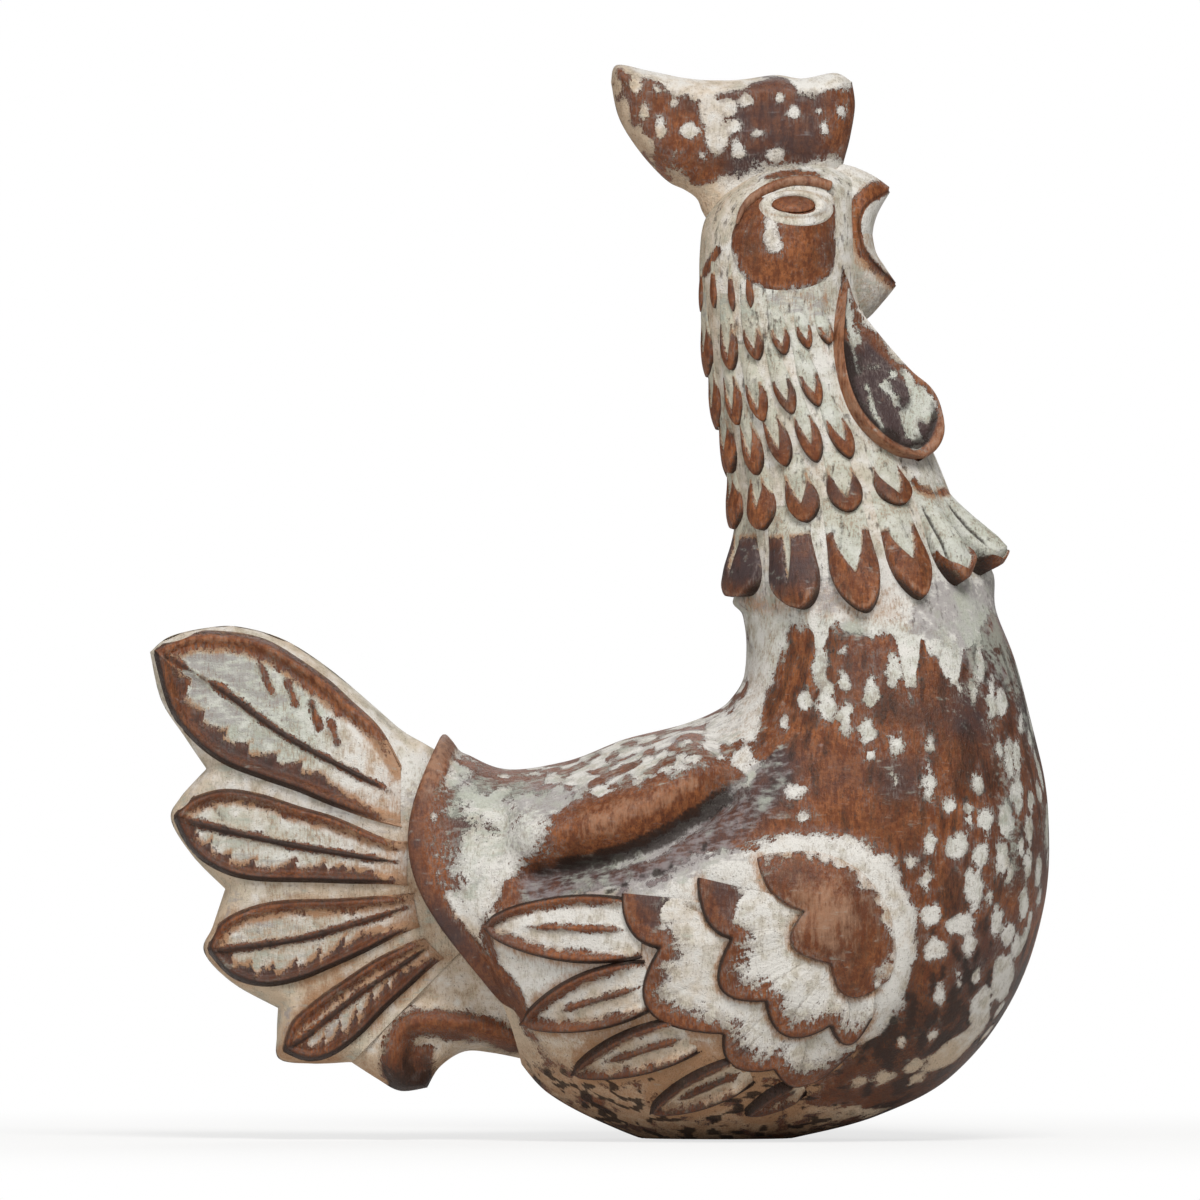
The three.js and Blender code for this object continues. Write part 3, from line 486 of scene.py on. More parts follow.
def burnished(f, clay, veil):
    """Colour of the bare clay, with plum tint that is partly painted shade, a painted sheen, and a veil of
    thin slip near the slipped part.
    """
    colour = f.mix(f.step(clay.brushed * 0.5 + clay.ragged * 0.3 + clay.patchy * 0.2, 0.42, 0.60), BROWN, TAN)
    colour = f.mix(f.step(clay.broad * 0.45 + clay.brushed * 0.55, 0.47, 0.62) * 0.68, colour, DARK_BROWN)
    colour = f.mix(f.step(clay.hairs * 0.6 + clay.grain * 0.4, 0.51, 0.62) * 0.55, colour, DARK_BROWN)
    # plum tint; in hollows and on lower sides this is painted shade
    sooty = clay.soot + (clay.broad - 0.5) * 1.3 + (clay.patchy - 0.5) * 1.2 - 0.10
    colour = f.mix(sooty.high(0.0).low(0.95), colour, PLUM)
    # painted sheen: lighter tan where forms catch the light
    sheen_share = clay.painted_sheen + (clay.patchy - 0.5) * 1.1 + (clay.brushed - 0.5) * 1.3 + (clay.hairs - 0.5) * 0.9
    colour = f.mix(f.step(sheen_share, 0.15, 1.0) * 0.75, colour, PAINTED_SHEEN_TAN)
    return f.mix(veil * 0.5, colour, THIN_SLIP)


def chalky(f, clay):
    """Colour of the slip."""
    beige = f.step(clay.broad * 0.4 + clay.patchy * 0.6 + clay.warm * 0.42, 0.48, 0.78)
    colour = f.mix(beige, WHITE_SLIP, BEIGE_SLIP)
    mossy = clay.moss * 0.8 + (clay.patchy - 0.5) * 1.8 - 0.12
    colour = f.mix(mossy.high(0.0).low(0.8), colour, GREEN_SLIP)
    soiled = f.step(clay.patchy * 0.35 + clay.hairs * 0.45 + clay.ragged * 0.2, 0.49, 0.60)
    colour = f.mix(soiled * (0.42 + clay.moss * 0.35), colour, SOILED_SLIP)
    thin = f.step(clay.slip, 1.8, 0.0) * f.step(clay.ragged, 0.44, 0.60)
    colour = f.mix(thin * 0.5, colour, THIN_SLIP)
    stained = f.step(clay.stain + (clay.patchy - 0.5) * 0.9 + (clay.hairs - 0.5) * 0.9, 0.22, 1.05)
    colour = f.mix(stained * 0.85, colour, STAIN)
    specks = f.step(clay.grain, 0.585, 0.66) * f.step(clay.ragged, 0.45, 0.60)
    return f.mix(specks * 0.7, colour, GRIME)


def coated(f, clay, colour):
    """The colour under a thin grey-green coat, darkened by painted shade and by dark hairs and marks."""
    thin_coat = f.mix(f.step(clay.broad * 0.6 + clay.patchy * 0.4, 0.44, 0.58), WASH_GREY, WASH_GREEN)
    washed = f.step(clay.wash + (clay.patchy - 0.5) * 1.5 + (clay.strokes - 0.5) * 2.2, 0.25, 0.95)
    colour = f.mix(washed * 0.66, colour, thin_coat)
    # painted shade, and dark hairs and marks
    shaded = f.step(clay.shade + (clay.ragged - 0.5) * 0.9 + (clay.hairs - 0.5) * 0.6, 0.25, 0.95)
    return f.mix(shaded * 0.88, colour, DEEP)


def slipped_clay(name):
    """Burnished clay under brushed slip.

    Marks: slip is the distance inside the slipped part in mm. The others run from 0 to 1: soot tints the bare
    clay plum, and in the hollow under the ridge and on lower sides it darkens as painted shade; shade is
    painted shade in creases, under lips and edges and towards the bottom, and also dark hairs and marks; moss
    and warm tint the slip, stain browns it, wash is a thin grey-green coat over both, and rub lightens the
    bare clay as a painted sheen.
    """
    material = bpy.data.materials.new(name)
    f = Finish(material)
    clay = clay_values(f)
    edge = clay.slip + (clay.patchy - 0.5) * 5.0 + (clay.ragged - 0.5) * 4.2
    edge = edge + (clay.grain - 0.5) * 1.8 + (clay.hairs - 0.5) * 2.4
    slipped = f.step(edge, -0.34, 0.42)
    veil = f.step(edge, -2.8, 0.2) * f.step(clay.hairs, 0.44, 0.60)
    colour = coated(f, clay, f.mix(slipped, burnished(f, clay, veil), chalky(f, clay)))
    relief = slipped * 0.22 + clay.grain * 0.42 * slipped + clay.ragged * 0.36
    relief = relief + clay.hairs * 0.28 + clay.strokes * 0.12
    bump = f.node("Bump", {}, Strength=0.8, Distance=MM, Height=relief)
    gloss = {"Roughness": 0.38 + clay.patchy * 0.2 + slipped * 0.34, "Specular IOR Level": 0.28}
    f.end("OutputMaterial", f.node("BsdfPrincipled", {}, Normal=bump, **{"Base Color": colour}, **gloss))
    return material


CLAY = slipped_clay("slipped_clay")


# Making a piece

WELD = 2e-6  # metres
SMOOTH_ANGLE = math.radians(55)
SLIP_REACH = 9  # slip depths past this read alike (mm)


def clay_piece(name, places, marks, wrap=False):
    """A closed piece over a grid of places (mm). Its marks are values per point that the finish reads.

    The open edges are filled, or bridged to each other where the grid wraps round a hole.
    """
    grid = places.shape[:2]
    bpy.ops.object.select_all(action="DESELECT")
    bpy.ops.mesh.primitive_grid_add(x_subdivisions=grid[1] - 1, y_subdivisions=grid[0] - 1, size=0.1)
    piece = bpy.context.object
    piece.name = piece.data.name = name
    piece.data.vertices.foreach_set("co", (places * MM).ravel())
    for mark, values in marks.items():
        if mark == "slip":
            values = np.clip(values, -SLIP_REACH, SLIP_REACH)
        layer = piece.data.attributes.new(mark, "FLOAT", "POINT")
        layer.data.foreach_set("value", np.broadcast_to(values, grid).astype(np.float32).ravel())
    bpy.ops.object.mode_set(mode="EDIT")
    bpy.ops.mesh.select_all(action="SELECT")
    bpy.ops.mesh.remove_doubles(threshold=WELD)
    bpy.ops.mesh.select_mode(type="EDGE")
    bpy.ops.mesh.select_all(action="DESELECT")
    bpy.ops.mesh.select_non_manifold()
    if wrap:
        bpy.ops.mesh.bridge_edge_loops()
    else:
        bpy.ops.mesh.fill_holes(sides=0)
    bpy.ops.mesh.select_all(action="SELECT")
    bpy.ops.mesh.normals_make_consistent(inside=False)
    bpy.ops.object.mode_set(mode="OBJECT")
    bpy.ops.object.shade_smooth_by_angle(angle=SMOOTH_ANGLE)
    piece.data.materials.append(CLAY)
    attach(piece, "root")
    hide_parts(name)


def both_sides(name, places, marks, wrap=False):
    """The piece on the bird's left, and its mirror image on the right."""
    clay_piece(f"{name}_left", places, marks, wrap)
    clay_piece(f"{name}_right", places * (1, -1, 1), marks, wrap)


def mirrored(name, half, slot, marks, far_marks=None):
    """One piece from its left half, which ends on the middle plane, and the half's mirror image."""
    far_marks = far_marks or marks
    places = np.concatenate([half, half[:, -2::-1] * (1, -1, 1)], 1)
    whole = {}
    for mark in marks:
        near, far = (np.broadcast_to(side[mark], half.shape[:2]) for side in (marks, far_marks))
        whole[mark] = np.concatenate([near, far[:, -2::-1]], 1)
    clay_piece(name, places, whole)


# Edges of the wing feathers, near which the body's slip is stained

# Wing coverts by name: start, then belly and cusp of each scallop, height of the lip
COVERTS = [
    (
        "upper",
        (39, 70.25),
        [((43, 61.5), (50.5, 57.25)), ((47.5, 49), (57, 44.75)), ((60.5, 37), (68.5, 38.5))],
        2.9,
    ),
    (
        "middle",
        (24.75, 65),
        [
            ((26.7, 55), (32.75, 50.5)), ((30, 38.5), (41, 35.5)),
            ((46, 27), (56.75, 29.75)), ((61.3, 25), (67, 31)),
        ],
        2.6,
    ),
    (
        "lower",
        (6, 61.25),
        [
            ((8.3, 52), (15.25, 48.25)), ((12.5, 33), (30.75, 27.5)),
            ((33, 19.7), (43, 19.25)), ((51, 14.5), (62.75, 22.5)),
        ],
        2.4,
    ),
]
UPPER_FRONT = [(42, 71.6), (54, 72), (64.5, 67.5), (71.3, 58.3), (73.3, 47), (71.5, 40.5)]
SHOULDER = np.array([70.0, 56.0])


def scalloped_edge(start, scallops, steps=56):
    """A run of scallops, each an arc through its belly to its cusp."""
    points = [np.array([start], float)]
    for belly, cusp in scallops:
        a, b = points[-1][-1], np.array(cusp, float)
        pull = 2 * np.array(belly, float) - (a + b) / 2
        t = np.linspace(0, 1, steps + 1)[1:, None]
        points.append(a * (1 - t) ** 2 + 2 * pull * t * (1 - t) + b * t**2)
    return np.concatenate(points)


# Wing quills: root, tip and half width
QUILLS = [
    ((11, 52.5), (-28.5, 53.5), 8.2),
    ((13, 39.5), (-18, 30.5), 7.2),
    ((24, 27.5), (-6, 18), 5.7),
    ((37, 19), (13, 8.8), 4.6),
    ((50.5, 14.2), (36, 7.6), 3.2),
]


def quill_edges(number):
    """Upper and lower edge of a wing quill, from the root to the tip."""
    root, tip, half = QUILLS[number]
    root, tip = np.array(root, float), np.array(tip, float)
    axis = tip - root
    square = np.array([-axis[1], axis[0]]) / np.linalg.norm(axis)
    s = np.linspace(0, 1, 24)[:, None]
    wide = half * np.maximum(np.sin(np.pi * (0.24 + 0.76 * s)), 0) ** 0.6
    return root + axis * s + square * wide, root + axis * s - square * wide


WING_EDGES = [scalloped_edge(start, scallops)[::8] for _, start, scallops, _ in COVERTS]
WING_EDGES += [edge[::3] for number in range(len(QUILLS)) for edge in quill_edges(number)]


# The pressed halves

# Lower edge of the slip that runs down from the collar
FRINGE = sketch(
    (776, 612), (792, 622), (811, 625), (815, 652), (823, 652), (828, 626), (846, 634), (880, 632),
    (896, 642), (904, 690), (913, 690), (919, 642), (936, 656), (944, 682), (955, 682), (962, 656),
    (972, 644), (984, 622), (1000, 606), (1012, 604),
)

# Brush dabs of slip on the breast and the back: middle on the sketch, then half width and half height (mm)
BREAST_DABS = [
    ((843, 650), (1.2, 1.0)), ((871, 651), (0.9, 1.0)), ((819, 664), (1.8, 6.2)),
    ((825, 703), (2.3, 4.6)), ((803, 700), (1.7, 2.6)), ((843, 682), (1.5, 2.1)),
    ((845, 717), (1.9, 3.1)), ((870, 690), (1.8, 4.2)), ((865, 730), (2.1, 3.8)),
    ((868, 753), (1.7, 1.9)), ((895, 742), (2.0, 2.6)), ((893, 670), (2.1, 3.4)),
    ((908, 667), (1.3, 6.6)), ((782, 723), (1.2, 2.0)), ((793, 790), (2.9, 1.9)),
    ((803, 815), (1.5, 1.7)), ((958, 687), (1.1, 1.6)), ((973, 690), (0.9, 1.8)),
    ((928, 740), (1.1, 1.7)), ((927, 783), (1.8, 4.5)), ((947, 805), (1.5, 2.4)),
    ((975, 780), (1.5, 2.9)), ((967, 813), (1.1, 3.0)), ((983, 820), (1.9, 4.2)),
    ((1005, 823), (2.0, 4.6)), ((955, 845), (2.7, 3.5)), ((978, 853), (2.3, 3.5)),
    ((1000, 857), (1.7, 4.6)), ((1008, 873), (1.2, 2.6)), ((1018, 847), (1.2, 2.6)),
    ((928, 843), (1.5, 3.0)), ((925, 880), (1.4, 3.0)), ((972, 888), (2.1, 5.8)),
    ((987, 893), (1.1, 2.6)), ((930, 913), (2.7, 2.9)), ((958, 923), (3.7, 2.8)),
    ((968, 943), (1.5, 3.2)), ((933, 947), (2.9, 3.1)), ((995, 920), (1.4, 4.0)),
    ((1007, 932), (1.7, 3.3)), ((1015, 945), (1.3, 3.2)), ((1023, 903), (1.3, 3.8)),
    ((937, 992), (1.7, 2.7)), ((958, 977), (1.0, 2.4)), ((975, 975), (1.5, 2.5)),
    ((932, 1033), (1.6, 2.4)), ((913, 1065), (2.3, 1.6)), ((882, 1075), (2.6, 1.8)),
    ((917, 1077), (2.3, 1.3)), ((857, 1080), (1.6, 0.9)), ((952, 1050), (5.6, 3.2)),
    ((980, 1012), (2.4, 6.5)), ((1003, 978), (2.4, 6.0)), ((910, 860), (1.6, 1.6)),
    ((1012, 790), (1.1, 2.9)), ((998, 750), (1.1, 2.4)), ((978, 662), (1.2, 6.0)),
    ((990, 700), (1.2, 6.5)), ((1015, 760), (1.0, 5.0)), ((1000, 703), (1.5, 4.0)),
    ((1020, 723), (0.9, 2.6)), ((893, 780), (0.9, 1.6)), ((867, 790), (0.8, 1.2)),
    ((1026, 860), (1.0, 4.5)), ((1030, 800), (0.8, 4.0)), ((1016, 795), (1.3, 4.5)),
    ((1027, 828), (1.0, 4.0)), ((1008, 760), (1.3, 5.0)), ((1022, 680), (0.9, 5.0)),
    ((900, 1040), (1.1, 1.5)), ((608, 801), (1.5, 1.2)), ((696, 772), (2.2, 1.3)),
    ((664, 764), (1.8, 1.1)), ((632, 753), (3.6, 1.2)), ((672, 738), (2.2, 1.1)),
    ((690, 753), (1.6, 1.0)), ((709, 753), (1.8, 1.3)), ((722, 762), (1.3, 1.1)),
    ((580, 778), (2.4, 1.2)), ((600, 766), (2.6, 1.1)), ((716, 728), (2.0, 1.4)),
    ((560, 795), (2.0, 1.1)),
]
FRONT_DABS = 16
LEAST_SEEN = 0.45  # where the skin turns away, a dab is drawn out no more than this allows
DAB_FUZZ = 3  # reach of a dab's ragged edge (mm)


def dab_places():
    """Middles, upward directions and half sizes of the dabs on the left flank and on the breast's front."""
    x, z = sketch(*[middle for middle, _ in BREAST_DABS]).T
    centre, out = on_flank(x, z)
    run = unit(on_flank(x, z + 0.5)[0] - on_flank(x, z - 0.5)[0])
    wide_seen = np.maximum(out[:, 1] / np.hypot(out[:, 0], out[:, 1]), LEAST_SEEN)
    tall_seen = np.maximum(run[:, 2], LEAST_SEEN)
    sizes = np.array([size for _, size in BREAST_DABS]) / np.stack([wide_seen, tall_seen], 1)
    # the front of the breast, which the sketch does not show
    rng = np.random.default_rng(59)
    for station in np.linspace(7.6, 11.2, FRONT_DABS):
        turn = np.radians(rng.uniform(156, 178))
        low, high = skin(np.array([station, station + 0.05]), np.array([turn, turn]))[0]
        centre = np.concatenate([centre, [low]])
        run = np.concatenate([run, [unit(high - low)]])
        sizes = np.concatenate([sizes, [rng.uniform((1.4, 2.4), (2.4, 4.4))]])
    return centre, run, sizes


DABS = dab_places()


def near_dabs(place, side, slip):
    """The slip with the dabs added to it."""
    mirror = np.array([1, side, 1])
    for centre, run, (across, along) in zip(*DABS):
        off = place - centre * mirror
        close = np.abs(off).max(-1) < max(across, along) + DAB_FUZZ
        off = off[close]
        rise = off @ (run * mirror)
        wide = np.sqrt(np.maximum((off**2).sum(-1) - rise**2, 0))
        depth = (1 - np.hypot(wide / across, rise / along)) * min(across, along)
        fuzz = lumps(place[close], (0.9, 1.6, 46), (0.5, 4, 47))
        slip[close] = np.maximum(slip[close], depth * 1.2 + fuzz)
    return slip


RIM_LINE = side_place(np.zeros(60), np.linspace(0, 1, 60))
RIDGE_BROWN = sketch(
    (548, 850), (552, 826), (575, 804), (620, 788), (680, 774), (722, 766), (734, 772), (700, 800),
    (640, 830), (590, 848),
)
BACK_TOP = sketch(
    (505, 780), (600, 742), (700, 706), (742, 668), (748, 720), (738, 758), (690, 776), (640, 782),
    (590, 800), (552, 818),
)
SADDLE = sketch(
    (452, 752), (500, 778), (560, 784), (590, 796), (552, 820), (535, 850), (500, 880), (476, 930),
    (446, 900), (436, 830),
)
CORNER = sketch(
    (735, 588), (794, 604), (788, 640), (780, 668), (767, 700), (760, 728), (752, 756), (737, 785),
    (712, 806), (722, 772), (736, 744), (704, 738), (722, 715), (738, 690), (744, 650), (740, 610),
)
RUMP = sketch(
    (430, 930), (452, 880), (470, 905), (500, 985), (560, 1070), (600, 1115), (520, 1080), (480, 1050),
    (440, 990),
)
UNDER_RIDGE = sketch((752, 764), (722, 798), (690, 826), (652, 850), (620, 862))
THROAT_ARC = sketch((912, 481), (920, 489), (932, 494), (946, 492))
NAPE_STROKE = sketch((704, 274), (717, 251))
BROW_SMEAR = sketch((768, 178), (795, 173), (820, 177))


def throat_arc(place):
    """Depth inside the brown stroke under the wattle."""
    return 1.2 - 2.0 * from_line(THROAT_ARC, place[..., 0], place[..., 2]) + 0.5 * mottle(place, 1.9, 24)


def neck_hairs(place):
    """Fine dark hairs in the slip of the neck."""
    return ease(0.1, 0.7, lumps(place * (2.0, 2.0, 0.5), (1, 2.0, 48), (0.6, 1.0, 49)))


class HalfMarks:
    """Where the slip lies on a pressed half, how it is soiled, and where shade and a sheen are painted on it.
    """

    def __init__(self, place, u, angle, side):
        self.place, self.u, self.side = place, u, side
        self.x, self.z = x, z = place[..., 0], place[..., 2]
        self.f = section_share(angle)
        self.turn = np.degrees(angle)
        self.on_body = u < 9
        self.mantle_rim = (u < 2) & (self.f < 0.8)
        self.neck = ease(13, 14, u)
        self.under_cheek = bell(x - 50, 10) * bell(z - 209, 4.5) * (u > 16)
        self.wild = lumps(place, (2.2, 7, 21), (1.2, 3, 22))
        self.rough = lumps(place, (1.6, 4.5, 23), (1.2, 1.9, 24))
        self.wing = depth_inside(WING_GROUND, x, z)
        self.corner = depth_inside(CORNER, x, z)
        self.saddle = depth_inside(SADDLE, x, z)
        self.back = depth_inside(BACK_TOP, x, z)
        self.ridge = depth_inside(RIDGE_BROWN, x, z) * 0.8 + 0.9 * self.wild + 0.6 * self.rough
        self.rim = from_line(RIM_LINE, x, z)
        self.arc = throat_arc(place)
        groove, sign, self.share = beside_line(BACK_GROOVE, x, z)
        self.below = -groove * sign
        self.hollow = window(self.below, (-1, 2), (17, 9)) * ease(0, 0.12, self.share) * self.on_body
        self.pale = 1.9 - from_line(UNDER_RIDGE, x, z) + 0.6 * self.rough

    def run_down(self):
        """Slip that runs down from the collar."""
        turn, side = self.turn, self.side
        streak = 2.6 * ripple(turn * 0.23, 5 + side) + 2.0 * ripple(turn * 0.6, 15 + side)
        streak = streak + 1.4 * ripple(turn * 1.3, 9 + side)
        fringe = np.interp(self.x, FRINGE[:, 0], FRINGE[:, 1])
        fringe = fringe + 9 * mottle(self.place * (1, 1, 0.4), 6, 58) * ease(95, 100, self.x)
        return (self.z - fringe) * 0.9 + 0.4 * streak + self.rough

    def laid(self):
        """Slip on the neck, the wing's ground, the corner behind the neck, the rump, saddle and back."""
        x, z, wild, rough = self.x, self.z, self.wild, self.rough
        bend = 0.16 * np.abs(z - 62)
        thick = blend(1.2, -0.6, ease(83, 90, z)) * blend(-0.7, 1, ease(-42 + bend, -31 + bend, x))
        flecks = 3.6 * mottle(self.place * (0.8, 1, 1.25), 3.2, 31)
        layers = [
            np.where(self.u > 9, self.run_down(), -SLIP_REACH),
            np.where(self.on_body, self.wing + 0.5 * wild + 0.5 * rough + 0.6, -SLIP_REACH),
            self.corner * 0.8 + 0.8 * wild + 0.5 * rough,
            depth_inside(RUMP, x, z) * 0.8 + wild,
            np.minimum(self.saddle * 0.3, thick) + 0.45 * wild + 0.4 * rough,
            np.minimum(self.back * 0.5, 0) + flecks - 0.3,
        ]
        return np.max(layers, 0)

    def worn_belly(self, slip):
        """The slip, worn to streaks on the belly."""
        x, z, rough, body = self.x, self.z, self.rough, self.on_body
        low = ease(24, 12, z - 0.06 * np.abs(x - 20))
        slip = np.where(body & (low > 0), blend(slip, np.minimum(slip, 1.0 + 0.8 * rough), low), slip)
        streaks = np.minimum((17 - z) * 0.35, 0.9) + 1.2 * rough - 4.5 * ease(50, 60, x) * ease(7, 10, z)
        return np.maximum(slip, np.where(body & (self.turn < 172), streaks, -SLIP_REACH))

    def under_ridge(self, slip):
        """The slip, thin between the ridge and the wing, where it is dark with pale streaks."""
        below, share = self.below, self.share
        combed = 2.2 * ripple(below * 0.55 + 1.5 * share, 33) + 1.6 * ripple(below * 1.4 + 4 * share, 34)
        combed = combed + 0.8 * self.rough - 1.5 + 0.22 * np.maximum(below, 0)
        slip = np.where(self.hollow > 0.4, np.minimum(slip, combed), slip)
        slip = np.maximum(slip, np.where(self.on_body, self.pale, -SLIP_REACH))
        return np.maximum(slip, np.where(self.u < 12.9, -4.0, -SLIP_REACH) + 0.5 * self.wild)

    def bared(self, slip):
        """The slip, less the bare, burnished places."""
        x, z, rough = self.x, self.z, self.rough
        slip = np.where(self.mantle_rim, np.minimum(slip, (self.rim - 5.0 - 0.3 * rough) * 1.5), slip)
        slip = np.where(self.f > 0.03, np.minimum(slip, -self.ridge - 0.2), slip)
        slip = np.minimum(slip, from_line(NAPE_STROKE, x, z) * 3 - 2.6)
        smear = from_line(BROW_SMEAR, x, z) * 1.6 - 1.0 + 0.4 * rough
        return np.where(self.u > 18, np.minimum(slip, smear), slip)

    def stain(self):
        x, z, u, turn, body = self.x, self.z, self.u, self.turn, self.on_body
        near_edge = np.min([from_line(edge, x, z) for edge in WING_EDGES], 0)
        hairy = ease(0.0, 0.7, mottle(self.place * (1.6, 1.6, 0.5), 3, 44)) * self.neck
        return (
            0.8 * ease(4.0, 0.4, near_edge) * body
            + 0.75 * ease(34, 14, z) * body * ease(80, 50, x)
            + 0.55 * ease(7, 4.6, self.rim) * ease(30, 60, z) * (u < 2)
            + 0.4 * ease(-1, 3, self.corner) * ease(60, 30, turn)
            + 0.45 * hairy
            + 0.6 * self.under_cheek
            + 0.6 * window(u, (11.9, 12.6), (13.6, 13.0)) * ease(125, 95, turn)
        )

    def wash(self):
        x, z, u, place = self.x, self.z, self.u, self.place
        front = ease(94, 106, x) * window(z, (52, 80), (138, 130)) * ease(-0.5, 0.4, mottle(place, 11, 61))
        wing_top = window(self.wing, (-3, 0), (6, 1)) * ease(57, 63, z) * ease(42, 30, x) * self.on_body
        under_collar = window(u, (11.4, 12.1), (13.6, 13.2)) * ease(-0.6, 0.2, mottle(place, 8, 68))
        return (
            blend(0.42, 0.9, ease(79, 87, z)) * ease(-2, 5, self.saddle)
            + 0.5 * self.hollow
            + 0.5 * ease(-1, 1.5, self.pale) * self.on_body
            + 0.5 * window(u, (10.4, 12.4), (13.4, 12.6)) * ease(100, 135, self.turn)
            + 0.45 * ease(-2, 3, self.back)
            + 0.85 * front
            + 0.6 * wing_top
            + 0.8 * under_collar
            + 0.5 * self.under_cheek
        )

    def shade(self, slip):
        x, z, u, place, body = self.x, self.z, self.u, self.place, self.on_body
        below, share = self.below, self.share
        groove = window(below, (-2.2, 0), (6.0, 1.5)) * window(share, (0.05, 0.2), (1.0, 0.85)) * body
        lines = ripple(below * 1.1 + 3 * share, 38) + 0.5 * mottle(place, 2, 39)
        long_marks = mottle(place * (0.7, 0.8, 1.3), 2.2, 35) + 0.5 * mottle(place * (0.7, 0.9, 1.3), 1.1, 36)
        worn = lumps(place * (1.5, 1.5, 0.4), (1, 4, 66), (0.6, 2, 67))
        brown = ease(0.6, -0.6, slip) * window(u, (5, 6.5), (13, 12))
        # dark marks: on the belly, worn streaks on the breast, hairs on the neck, the stroke under the wattle
        # painted shade: the groove and hollow under the ridge, the mantle rim's edge, the bottom, the
        # breast's lower front;
        layers = [
            groove * (0.85 + 0.4 * ease(0.3, 0.55, share) + 0.5 * mottle(place, 3, 37)),
            self.hollow * ease(0.1, 0.6, lines),
            ease(0.22, 0.42, long_marks) * ease(26, 13, z) * ease(68, 58, x) * body,
            0.45 * ease(5, 1, z) * body,
            0.5 * window(self.rim, (4.1, 4.8), (5.6, 4.9)) * self.mantle_rim,
            (0.62 * ease(-0.1, 0.45, worn) + 0.7 * ease(62, 26, z) * ease(45, 62, x)) * brown,
            0.62 * neck_hairs(place) * np.maximum(self.neck, 0.8 * ease(11.4, 12.4, u) * (slip > 0)),
            0.5 * ease(-1.5, 1.0, self.arc) * (u > 13),
        ]
        return np.max(layers, 0)

    def soot(self):
        # Plum on the breast, the saddle and the mantle rim; in the hollow under the ridge and towards the
        # bottom it is painted shade.
        u = self.u
        soot = (
            self.hollow
            + 0.5 * window(u, (7.5, 11), (12.9, 11.5)) * ease(80, 140, self.turn)
            + 0.55 * ease(-2, 6, self.saddle)
            + 0.25 * ease(14, 3, self.z)
            + 0.6 * ease(5.0, 2.5, self.rim) * (u < 2)
            + 0.5 * ease(-0.1, 0.6, mottle(self.place, 13, 60)) * ease(6, 8, u)
        )
        return np.where(u > 13, 0, soot)

    def moss(self):
        moss = 0.5 * ease(-2, 6, self.saddle) + 0.5 * window(self.u, (7, 10), (13.2, 12))
        return moss + 0.4 * self.neck * (1 + 0.8 * ripple(self.turn * 0.5, 41)) + 0.6 * self.under_cheek

    def warm(self):
        neck = (0.2 + 0.5 * ease(60, 8, self.turn)) * self.neck
        return 1.2 * ease(34, 10, self.z) + neck + 0.8 * ease(1.2, 0.2, self.u) * ease(62, 40, self.z)

    def painted_sheen(self):
        # Painted sheen on the top of the back's ridge and on the upper part of the mantle rim.
        ridge = 0.62 * ease(0.5, 3.5, self.ridge) * window(-self.below, (2.0, 5.0), (15, 9))
        return ridge + 0.7 * ease(0.45, 0.2, self.u) * ease(78, 94, self.z)

    def all(self):
        slip = self.under_ridge(self.worn_belly(self.laid()))
        slip = self.bared(near_dabs(self.place, self.side, slip))
        marks = {
            "soot": self.soot(), "moss": self.moss(), "warm": self.warm(), "stain": self.stain(),
            "wash": self.wash(), "shade": self.shade(slip), "painted_sheen": self.painted_sheen(),
        }
        slip = np.where(self.u > 13, np.minimum(slip, -self.arc), slip)
        return {"slip": slip, **{name: held(values) for name, values in marks.items()}}


# Firing vent in the foot (mm), and shares of the width as an open end closes on the middle plane
VENT_X = 22
VENT_DEPTH = 7
CLOSING = np.array([0, 0.4, 0.75, 0.94, 0.985])[:, None]


def pressed_half(side):
    """One half of the body, neck and head, closed towards the middle plane at the rump and the crown."""
    steps = [np.linspace(0, 0.16, 9)[:-1], np.linspace(0.16, 12, 213)[:-1], np.linspace(12, LAST, 130)]
    u, angle = np.meshgrid(np.concatenate(steps), np.linspace(0, np.pi, 236), indexing="ij")
    place, _ = skin(u, side * angle)
    z = np.maximum(place[..., 2], 0)
    vent = VENT_DEPTH * ease(4.3, 3.7, np.hypot(place[..., 0] - VENT_X, place[..., 1]))
    place[..., 2] = np.where(z < 3, np.maximum(z, vent), z)
    place[:, (0, -1), 1] = 0
    place[..., 1] = side * np.maximum(side * place[..., 1], 0)
    marks = HalfMarks(place, u, angle, side).all()
    caps = len(CLOSING)
    rump, crown = np.repeat(place[:1], caps, 0), np.repeat(place[-1:], caps, 0)
    rump[..., 1] *= CLOSING
    rump[..., 0] += 0.6 * (1 - CLOSING) ** 0.2
    crown[..., 1] *= CLOSING[::-1]
    marks = {name: np.pad(values, ((caps, caps), (0, 0)), "edge") for name, values in marks.items()}
    side_name = "left" if side > 0 else "right"
    clay_piece(f"body_half_{side_name}", np.concatenate([rump, place, crown]), marks)


for side in (1, -1):
    pressed_half(side)


# Relief pieces

UNDER = -0.9  # where the edge of a laid piece ends, sunk into the ground (mm)


def leaf_height(d, rim, dish, rim_wide):
    """Height over the ground of a dished leaf with a rolled rim, at depth d inside its outline."""
    roll = rim * bell(d - rim_wide * 0.8, rim_wide)
    body = np.where(d > rim_wide * 0.8, np.maximum(roll, dish), np.maximum(roll, rim * 0.55))
    return blend(UNDER, body, ease(-0.8, 0.25, d))


def hair(t, seed):
    """Fine brush hairs along an edge, from -1 to 1."""
    return 0.6 * ripple(t * 0.9, seed) + 0.4 * ripple(t * 2.3, seed + 1)


